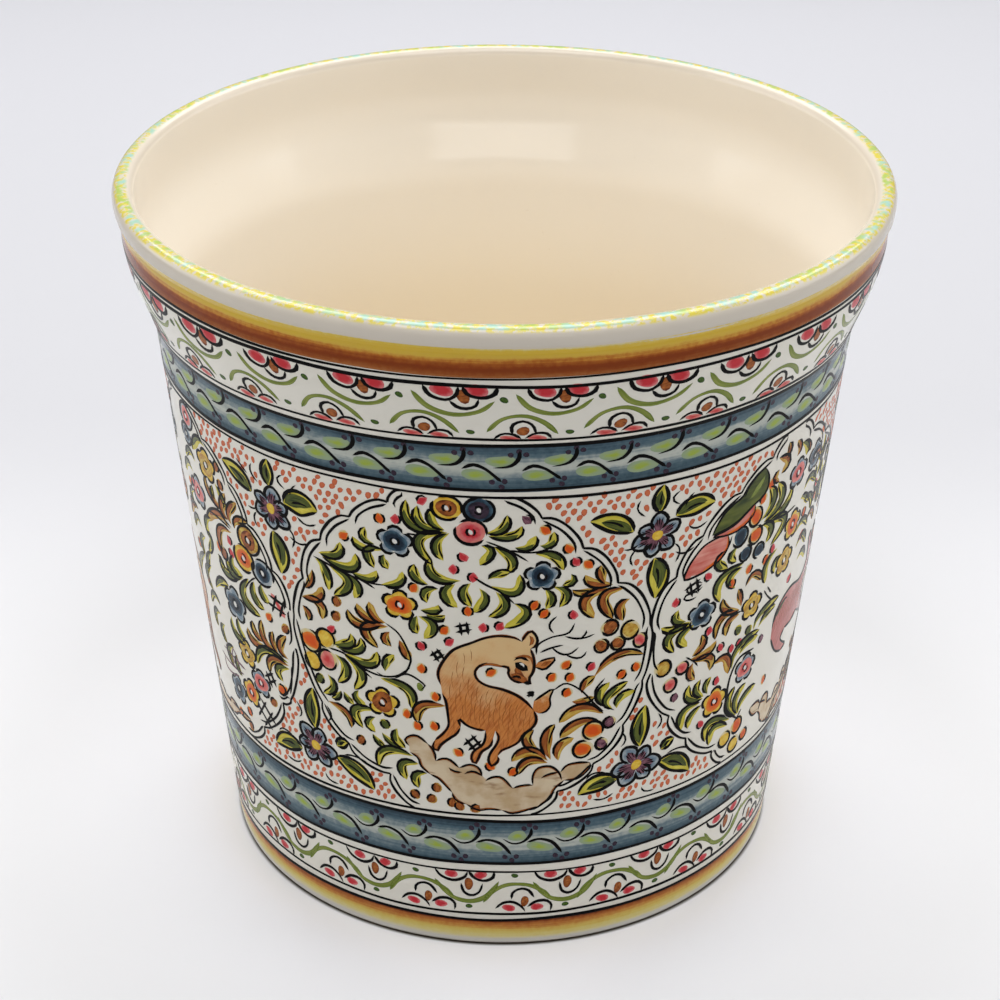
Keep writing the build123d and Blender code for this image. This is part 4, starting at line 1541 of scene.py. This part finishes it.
# A hare running to the right, in millimetres from its middle, right and down
HARE = (
    (-13, -2), (-12.4, -6), (-9, -9), (-4, -9.8), (2, -8.2), (6, -8.6), (8.4, -10.6), (7, -14.4),
    (5.4, -18.8), (6.8, -20), (8.8, -16.4), (9.6, -13.6), (10, -18), (11.6, -20), (12.2, -17),
    (11.8, -13.4), (14, -12), (16.4, -9.6), (16, -7.6), (13, -6.4), (10.6, -5.6), (9.6, -2), (10.6, 1.6),
    (14, 4.4), (15.4, 6.6), (13, 6.6), (9, 4.6), (5.8, 2.6), (1, 3.2), (-4, 2.6), (-6, 4.6), (-3.6, 7),
    (-1, 8.8), (-4, 9.4), (-8, 7.4), (-10.6, 4.6), (-12.6, 1.4),
)
HARE_LINES = ((0, 7), (6, 10), (9, 12), (11, 15), (14, 19), (18, 23), (22, 28), (27, 30), (29, 34), (33, 37))
# Panel C: the half that the photo shows
C_GREEN = (
    (-57, 67.2, -59.6, 66.8, -62.1, 72.2, 2.4), (-54.7, 87, -56.5, 84.9, -56.3, 80.6, 2),
    (-58.4, 106.8, -57.6, 108.8, -56.8, 110.9, 2.2), (-50.7, 109, -56.2, 111.2, -57.3, 107.1, 2.8),
    (-50.3, 108.4, -54, 109.2, -54.7, 105.4, 2.4), (-48.6, 107.6, -50.8, 115.6, -46.8, 119.1, 3),
    (-47, 107.3, -47.4, 112.7, -45.2, 115.5, 2.6), (-45, 106.3, -44.9, 110.1, -43.3, 112, 2.2),
    (-57, 128.9, -56.5, 133.7, -53.1, 135.4, 2.4), (-54.6, 127.4, -54.3, 131.4, -52.6, 132.8, 2),
    (-40.7, 132.3, -46.8, 132.4, -49.4, 139.4, 2.4), (-40.5, 134.6, -43.5, 136.7, -42.6, 140.7, 2.2),
    (-52.5, 102.1, -53.1, 106.8, -50.4, 107.6, 2.2), (-62.3, 109.8, -64.8, 115.6, -64.8, 119.1, 2.2),
    (-66, 114, -71.4, 122, -71.6, 127.3, 2.2), (-63.4, 116.2, -66.7, 121.2, -64.6, 125.3, 2.4),
    (-62.1, 122.6, -59.6, 118.1, -56.4, 116.6, 2.4), (-62.4, 101.6, -60.8, 104.2, -62.8, 110, 2.2),
    (-55, 78.4, -53.8, 81, -52.4, 84.4, 1.8), (-58.6, 142, -61, 145.6, -59.6, 150, 2.2),
    (-57.4, 144, -57.8, 148, -56.6, 151, 2), (-61, 136, -62.8, 139, -61.4, 143, 2),
    (-59.4, 95, -61.8, 98, -61.2, 103, 2.2), (-64, 106, -66.6, 109, -66, 114, 2.2),
    (-62.4, 77, -64.6, 75, -67, 79, 2), (-64.6, 82.4, -67.4, 81.4, -69, 86, 2),
    (-66, 91, -68.6, 93.6, -67, 98, 2.2), (-65, 103, -67.6, 101.6, -69.4, 106.4, 2),
    (-61.8, 129, -64.4, 127.4, -66.4, 132, 2), (-62.4, 133, -65.4, 135, -65, 140, 2),
)
C_BROWN = (
    (-52.1, 89, -53.8, 86.2, -52.2, 80, 2.4), (-51.3, 89.9, -51.7, 86, -49.1, 80.7, 2.4),
    (-52.7, 91.7, -55.6, 89.7, -60.6, 95.9, 2.8), (-42.9, 130.3, -46.3, 127.9, -46.4, 121.3, 2.2),
    (-40.4, 130.7, -42.2, 127.5, -40.3, 122.2, 2.2), (-46.4, 130.6, -49.9, 131.5, -51.2, 128, 2.4),
    (-46.5, 129.2, -48.7, 127.6, -49.3, 123.8, 2.2), (-42.9, 130.3, -44, 127.1, -43.6, 123, 1.8),
    (-40.6, 133.4, -44.9, 134.3, -45.9, 139.8, 2.2), (-52, 93.4, -56.1, 96, -56.4, 104, 2.4),
    (-53.6, 86.8, -58, 83.6, -58.4, 79, 2.2), (-50.4, 90.4, -49.6, 87, -46.6, 85.4, 2),
    (-65.6, 97, -68.2, 97.6, -70, 102, 2),
)
C_STEMS = (
    ((-60, 92), (-56, 91.2), (-52, 92)), ((-46.2, 105), (-48, 107.6), (-50, 112)),
    ((-41, 132), (-45, 131.4), (-49, 132)), ((-41, 144.6), (-40.2, 139), (-39.8, 133)),
    ((-47, 63), (-44.6, 66.4)), ((-56.6, 80.7), (-56.8, 85.2), (-54, 89.4), (-51.6, 91.2)),
)
C_FRUIT = {
    "oranges": (
        (-44, 117.6), (-42.5, 144), (-55.4, 164), (-57.5, 103), (-59.6, 168), (-67.6, 88.4), (-68.6, 112),
        (-66.6, 124)),
    "reds": ((-53, 97), (-52.8, 101.4), (-65.4, 86.6), (-69.4, 98)),
    "browns": ((-40.1, 119), (-46.1, 152), (-53.2, 77.4), (-53.6, 71.3), (-55.8, 170)),
}
C_LARGE = (("browns", -55.6, 104, 1.9), ("oranges", -43.2, 144.6, 1.7))
C_FLOWERS = (
    ("lobed", "yellows", "ochres", -57.5, 74, 5.4), ("round", "ochres", "browns", -46.9, 92, 4.8),
    ("round", "yellows", "oranges", -49, 100.1, 4.8), ("round", "petals", "blues", -44.1, 101.6, 4.6),
    ("lobed", "petals", "blues", -54.5, 121.8, 6), ("lobed", "yellows", "ochres", -52.8, 139, 4.8),
    ("lobed", "petals", "pinks", -49.4, 147.3, 4.8), ("lobed", "yellows", "oranges", -53.4, 154.6, 4.8),
    ("lobed", "petals", "blues", -58.9, 158.4, 5), ("lobed", "petals", "pinks", -63.3, 88.4, 5.4),
    ("round", "petals", "pinks", -63.3, 61.8, 4.4), ("round", "petals", "blues", -64.6, 69, 3.6),
)
PLUM_TWIGS = (
    ((-54.5, 147), (-59.1, 146.1), (-63.5, 146.3)), ((-55.5, 149.7), (-61.4, 150.8), (-65.2, 149.7)),
    ((-57.1, 148.9), (-57.6, 144.6), (-59.7, 141.9)), ((-57.7, 152.5), (-63, 154.8), (-64.2, 151.2)),
    ((-58.4, 148.9), (-59.6, 146.5), (-58.4, 141.8)), ((-58, 150.6), (-61.4, 148.4), (-62, 144)),
)
# Tendrils beside the flowers between the panels, from a flower's middle round
TENDRILS_ABOVE = (
    ((3.4, 61.5), (2.2, 63.8), (3.6, 66.2)), ((-5.6, 78.2), (-4.4, 78.4), (-3.2, 77.2)),
    ((-3.6, 79), (-4.4, 81.6), (-3.9, 84.4)), ((3.2, 79.6), (4.4, 82.6), (3.8, 86.6)),
    ((5.6, 74.6), (7.2, 76.4), (9.2, 75.2)), ((3.6, 82.8), (5.4, 84.2), (7.2, 83)),
    ((-3.4, 62), (-3.8, 65), (-2.4, 67.8)), ((6, 63.4), (5, 65.4), (4.6, 67.6)),
)
TENDRILS_BELOW = (
    ((3.6, 142.6), (4.4, 145.8), (3.6, 148.6)), ((-3.6, 146), (-2.6, 149.4), (-3.4, 152)),
    ((6.4, 160), (9, 159.4), (11.4, 161)), ((-6, 161), (-8.4, 160.6), (-9.6, 162.6)),
    ((1.6, 170.4), (2.4, 172.6), (4.4, 173)), ((-4.2, 170), (-6, 171.6), (-8, 171)),
)


def mirrored(cusps, middle, stretch, about=None):
    """A frame's other side, a little further out, about its own middle or set over to another."""
    return [((middle if about is None else about) - stretch * (way - middle), down) for way, down in cusps]


A_MIDDLE, B_MIDDLE, C_MIDDLE = -6.2, 53.8, -66.2
C_BEHIND = C_MIDDLE + 180
B_STRETCH, C_STRETCH = 1.05, 1.06
B_FRAME_RIGHT = mirrored(B_FRAME_LEFT, B_MIDDLE, B_STRETCH)
C_FRAME_LEFT = mirrored(C_FRAME_RIGHT, C_MIDDLE, C_STRETCH)
C_FRAME_BEHIND = mirrored(C_FRAME_RIGHT, C_MIDDLE, C_STRETCH, C_BEHIND)
# The spaces between the panels, as the frames to their right and left, each with its panel's middle
GAPS = (
    ((B_FRAME_LEFT, B_MIDDLE), (A_FRAME_RIGHT, A_MIDDLE)),
    ((A_FRAME_LEFT, A_MIDDLE), (C_FRAME_RIGHT, C_MIDDLE)),
    ((C_FRAME_BEHIND, C_BEHIND), (B_FRAME_RIGHT, B_MIDDLE)),
)
FRAME_TOP, FRAME_FOOT = 56.8, 174.7
# The lobe of a frame that touches the next panel's
TOUCHING = 5

PANEL_A = (A_GREEN, A_BROWN, A_STEMS, A_FRUIT, A_LARGE, A_FLOWERS)
PANEL_B = (B_GREEN, B_BROWN, B_STEMS, B_FRUIT, B_LARGE, B_FLOWERS)
PANEL_C = (C_GREEN, C_BROWN, C_STEMS, C_FRUIT, C_LARGE, C_FLOWERS)


# Painting the panels

def scatter(s, panel, there=lambda way, down: True, put=tuple):
    """Paints those of a panel's motifs that stand where there says, each at the places that put gives."""
    green, brown, stems, fruit, large, flowers = panel
    for leaves, dry in ((green, False), (brown, True)):
        for ax, ay, bx, by, cx, cy, width in leaves:
            if there(ax, ay) and there(cx, cy):
                leaf(s, *put(((ax, ay), (bx, by), (cx, cy))), width, dry)
    for points in stems:
        if all(there(*p) for p in points):
            line(s, put(points))
    for paint, places in fruit.items():
        for place in places:
            if there(*place):
                berry(s, paint, *put((place,))[0])
    for paint, way, down, radius in large:
        if there(way, down):
            berry(s, paint, *put(((way, down),))[0], radius, True)
    for kind, rim, heart, way, down, radius in flowers:
        if there(way, down):
            flower = round_flower if kind == "round" else lobed_flower
            flower(s, rim, heart, *put(((way, down),))[0], radius)


def moved(points, middle, flip=1.0, size=0.93, lower=0.0, high=1.0):
    """Places given on panel A, set over to another panel, turned about its middle if flip is -1."""
    there = []
    for way, down in points:
        new_way = middle + flip * size * (way - A_MIDDLE)
        there.append((new_way, PANEL_FOOT - (PANEL_FOOT - down) * high + lower))
    return tuple(there)


def borrowed(s, middle, flip, away):
    """The half of a panel that the photo doesn't show, filled like panel A's left, clear of its figure."""
    def there(way, down):
        from_middle = way - A_MIDDLE
        by_body = from_middle > -17 and 104 < down < 158
        by_head = from_middle > -26 and 106 < down < 146
        return from_middle < away and not by_body and not by_head
    scatter(s, PANEL_A, there, lambda points: moved(points, middle, flip))


def deer(s, middle, flip=1.0, size=1.0, lower=0.0):
    """A deer looking back over its shoulder."""
    def put(points):
        return on_paper(moved(points, middle, flip, size, lower))
    for outline in (DEER, DEER_EAR, DEER_TAIL):
        shape = put(outline)
        s["fawn"].fill(shape[::-1] if flip < 0 else shape, whole=True)
    for points in DEER_LINES:
        s["browns"].stroke(put(points), 1.0, SHADE)
        s["blacks"].stroke(put(points), 0.62)
    s["blacks"].stroke(put(DEER_EAR[1:] + DEER_EAR[:1]), 0.6)
    s["blacks"].stroke(put(DEER_TAIL[1:]), 0.6)
    for x, y, high, lean in DEER_FUR:
        hair = ((x, y), (x - lean * 0.5, y + high * 0.5), (x, y + high))
        s["browns"].stroke(put(hair), 0.22, SHADE, "comma")
    for paint, width, lift, shape, points in DEER_TOUCHES:
        s[paint].stroke(put(points), width, lift, shape)


def hare(s, middle, down):
    """A hare at full stretch."""
    def put(points):
        return [at(middle + 1.3 * x / WAY, down + 1.3 * y) for x, y in points]
    s["rose_coat"].fill(put(HARE)[::-1], whole=True)
    for first, last in HARE_LINES:
        s["blacks"].stroke(put(HARE[first:last]), 0.7)
    s["blacks"].blob(put(((13.2, -10),))[0], 1.7, 2.0, TOUCH)
    for k in range(16):
        x = -11 + 1.25 * k
        s["browns"].stroke(put(((x, -7), (x - 0.9, -3.6), (x, -0.6))), 0.34, SHADE, "comma")


def rocks(s, middle, flip=1.0, size=1.0, high=1.0):
    """Rocks under the figure, rounded like clouds."""
    shape = on_paper(moved(ROCKS, middle, flip, size, 0.0, high))
    shape = eased(shape + shape[:1], 110)[:-1]
    s["stone"].fill(shape[::-1] if flip < 0 else shape, WASH, whole=True)
    for points in ROCK_LINES:
        edge = moved(points, middle, flip, size, 0.0, high)
        s["browns"].stroke(on_paper(edge), 0.5, SHADE, "comma", -0.55 * flip)
        line(s, edge, 0.55)


def paint_deer_panel():
    s = new_sheets(700)
    lobed_frame(s, A_FRAME_LEFT, A_MIDDLE)
    lobed_frame(s, A_FRAME_RIGHT, A_MIDDLE)
    scatter(s, PANEL_A)
    s["twigs"].blob(at(-13.9, 126.6), 2.2, 3, FILL, 10)
    rocks(s, A_MIDDLE)
    deer(s, A_MIDDLE)
    for hatching in ((-6.3, 103.3, 5, 12), (-10.7, 114, 4.6, 35), (-5, 146.3, 6, 40), (4.8, 127.2, 2.4, 0)):
        hatch(s, *hatching)
    laid_each(s)


def paint_feather_panel():
    s = new_sheets(800)
    lobed_frame(s, B_FRAME_LEFT, B_MIDDLE, TOUCHING)
    lobed_frame(s, B_FRAME_RIGHT, B_MIDDLE, TOUCHING)
    scatter(s, PANEL_B)
    s["leaf_greens"].fill(on_paper(GREEN_FEATHER)[::-1], WASH)
    s["twigs"].stroke(on_paper(((46.2, 67.4), (45, 70.6), (43, 73.6))), 2.0, FILL, "almond")
    line(s, GREEN_FEATHER[:9], 0.6)
    line(s, GREEN_FEATHER[8:] + GREEN_FEATHER[:1], 0.6)
    for feather in PINK_FEATHERS:
        s["feather_pinks"].fill(on_paper(feather)[::-1], WASH)
        s["oranges"].stroke(on_paper(feather[:5]), 1.3, FILL, "leaf", -0.7)
        line(s, feather + feather[:1], 0.6)
    hatch(s, 32.9, 98.4, 6, 20)
    arc(s, (33.2, 98.4), 3.0, 1.7, 30, 340)
    arc(s, (32.6, 101.2), 2.6, 1.3, 10, 320)
    line(s, ((51.2, 134.4), (47, 134.4), (45, 139.4), (44.6, 146), (45.2, 153.3), (49.6, 160.8)), 0.8)
    hare(s, B_MIDDLE + 12.8, 135)
    rocks(s, B_MIDDLE + 15.5, -1.0, 0.72, 0.78)
    borrowed(s, B_MIDDLE, -1.0, -10.6)
    laid_each(s)


def paint_flower_panel():
    s = new_sheets(900)
    lobed_frame(s, C_FRAME_RIGHT, C_MIDDLE, TOUCHING)
    lobed_frame(s, C_FRAME_LEFT, C_MIDDLE)
    scatter(s, PANEL_C)
    s["pinks"].stroke(on_paper(((-42.6, 107.6), (-41, 111.5), (-39.8, 115))), 2.0, WASH)
    for hatching in ((-41.4, 111.4, 8, -15), (-46.1, 142.9, 6, 30), (-49.2, 159.6, 10, 50)):
        hatch(s, *hatching)
    for points in PLUM_TWIGS:
        s["plums"].stroke(on_paper(points), 0.7, LINE, "comma")
    deer(s, C_MIDDLE - 9, -1.0, 0.95, 12.0)
    rocks(s, C_MIDDLE - 10, 1.0, 0.93, 0.35)
    borrowed(s, C_MIDDLE, 1.0, -8)
    laid_each(s)


# Between the panels: flowers, leaves, tendrils and coral dots

TOPS = ((24.8, 1.0, 0.0), (-39.8, 1.0, 1.4), (83.6, 0.8, 0.0))
FEET = (24.9, -36, 83.6)


def flower_above(s, way, spread, plump):
    """The flower and leaves of a space between the tops of two panels. Plump widens the right leaf."""
    star_flower(s, way, 75.3, 6.5, 20)
    broad_leaf(s, (way - 4.2, 72.4), (way - 11.4 * spread, 66.6), 4.6, -0.1)
    broad_leaf(s, (way + 3, 70 + plump), (way + 10.4 * spread - plump / 2, 69 + plump), 5 + plump, 0.12)
    broad_leaf(s, (way + 0.2, 67.4), (way + 0.4, 58), 3.6, 0.05)
    broad_leaf(s, (way - 0.2, 83.2), (way + 0.6, 98), 5.2, 0.08)


def flower_below(s, way):
    """The flower and leaves of a space between the feet of two panels."""
    star_flower(s, way, 160.6, 7.2, 0)
    broad_leaf(s, (way + 0.4, 153.6), (way + 0.8, 137.8), 4.6, 0.06)
    broad_leaf(s, (way - 3.6, 164.6), (way - 11, 168.2), 4.8, -0.12)
    broad_leaf(s, (way + 4.6, 162), (way + 12.2, 170.6), 5, 0.1)
    broad_leaf(s, (way + 5, 157.6), (way + 7.6, 154.4), 2.8, 0.1)


def paint_between():
    """Paints the flowers, and gives the shapes that the dots keep clear of."""
    s = new_sheets(1000)
    for top in TOPS:
        flower_above(s, *top)
    for foot in FEET:
        flower_below(s, foot)
    for ways, tendrils in (([top[0] for top in TOPS], TENDRILS_ABOVE), (FEET, TENDRILS_BELOW)):
        for way in ways:
            for points in tendrils:
                line(s, [(way + x, down) for x, down in points])
    masks = [s[name].mesh() for name in ("leaf_yellows", "petals", "blacks")]
    laid_each(s)
    return masks


def dots_tree():
    """Dabs a field of spots, each a little out of place, and leaves out those too near anything painted."""
    tree = Growing("dabbed_between_the_panels", ("Stray", "Float"), ("Clear", "Float"), ("Dab", "Object"),
                   ("Keep off", "Object"), ("Seed", "Int"))
    field, stray, clear, dab, avoid, seed = tree.inputs
    push = tree.chance_vector((-1.0, -1.0, 0.0), (1.0, 1.0, 0.0), seed)
    spots = tree.put(field, {"Offset": tree.scaled(push, stray)})
    near = tree.node("GeometryNodeProximity", {0: tree.shape_of(avoid)}, "Distance", target_element="FACES")
    close = tree.math("LESS_THAN", near, clear)
    left = tree.node("GeometryNodeDeleteGeometry", {"Geometry": spots, "Selection": close}, domain="POINT")
    size = tree.vector(tree.chance(0.85, 1.15, 3), tree.chance(0.8, 1.15, 4), 1.0)
    dabs = {"Points": left, "Instance": tree.shape_of(dab), "Scale": size,
            "Rotation": tree.vector(0.0, 0.0, tree.chance(-0.5, 0.6, 2))}
    dabs = tree.node("GeometryNodeInstanceOnPoints", dabs)
    return tree.finish(tree.node("GeometryNodeRealizeInstances", {0: dabs}))


def edge_at(cusps, down):
    """Where a panel's frame is at a depth, in degrees round, going straight from cusp to cusp."""
    for (a, low), (b, high) in zip(cusps, cusps[1:]):
        if low <= down <= high:
            return a + (b - a) * (down - low) / (high - low)
    return cusps[0][0] if down < cusps[0][1] else cusps[-1][0]


def paint_dots(masks):
    """Coral dabs fill the white between the panels."""
    across, rise, rows, highest, margin = 2.75, 2.6, 45, 58.2, 0.7
    points = []
    for (right, _), (left, _) in GAPS:
        for row in range(rows):
            down = highest + rise * row
            start, end = at(edge_at(left, down) + margin, down), at(edge_at(right, down) - margin, down)
            half = 0.5 * (row % 2)
            columns = range(math.ceil(start.x / across - half), math.floor(end.x / across - half) + 1)
            points += [Vector((across * (i + half), start.y + 0.45 * i % 1.1)) for i in columns]
    mesh = bpy.data.meshes.new("field")
    mesh.from_pydata([(p.x * MM, p.y * MM, 0) for p in points], [], [])
    dab = Sheet("dab", 5)
    dab.blob(Vector((0, 0)), 1.75, 2.15, FILL, -15, 0.12)
    frames = new_sheets(1)
    for gap in GAPS:
        for cusps, middle in gap:
            lobed_frame(frames, cusps, middle)
    for down in (FRAME_TOP, FRAME_FOOT):
        frames["blacks"].stroke(on_paper(((-50, down), (20, down), (100, down))), 0.6)
    mask = merged("mask", [*masks, frames["blacks"].mesh()])
    helpers = [placed("dab", dab.mesh()), placed("keep_off", mask)]
    values = {"Stray": 0.00028, "Clear": 0.0008, "Dab": helpers[0], "Keep off": helpers[1], "Seed": 7}
    dots = grown(mesh, "dots", dots_tree(), values)
    values = {"Copies": 2, "Step": 180 * WAY * MM, "Height": 0.1}
    put_by("corals", grown(dots.data.copy(), "corals", REPEAT, values))
    for helper in helpers + [dots]:
        bpy.data.objects.remove(helper)


bands = paint_bands()
paint_upper_border()
paint_lower_border()
paint_vines()
paint_deer_panel()
paint_feather_panel()
paint_flower_panel()
paint_dots(paint_between())

sheets.update({sheet.name: [sheet.mesh()] for sheet in bands})
for name, (way_laid, *values) in (PAINTS | BAND_PAINTS).items():
    wrapped(name, way_laid(*values))

add_floor()
add_light()
add_camera()
bpy.context.scene.view_settings.view_transform = "Standard"
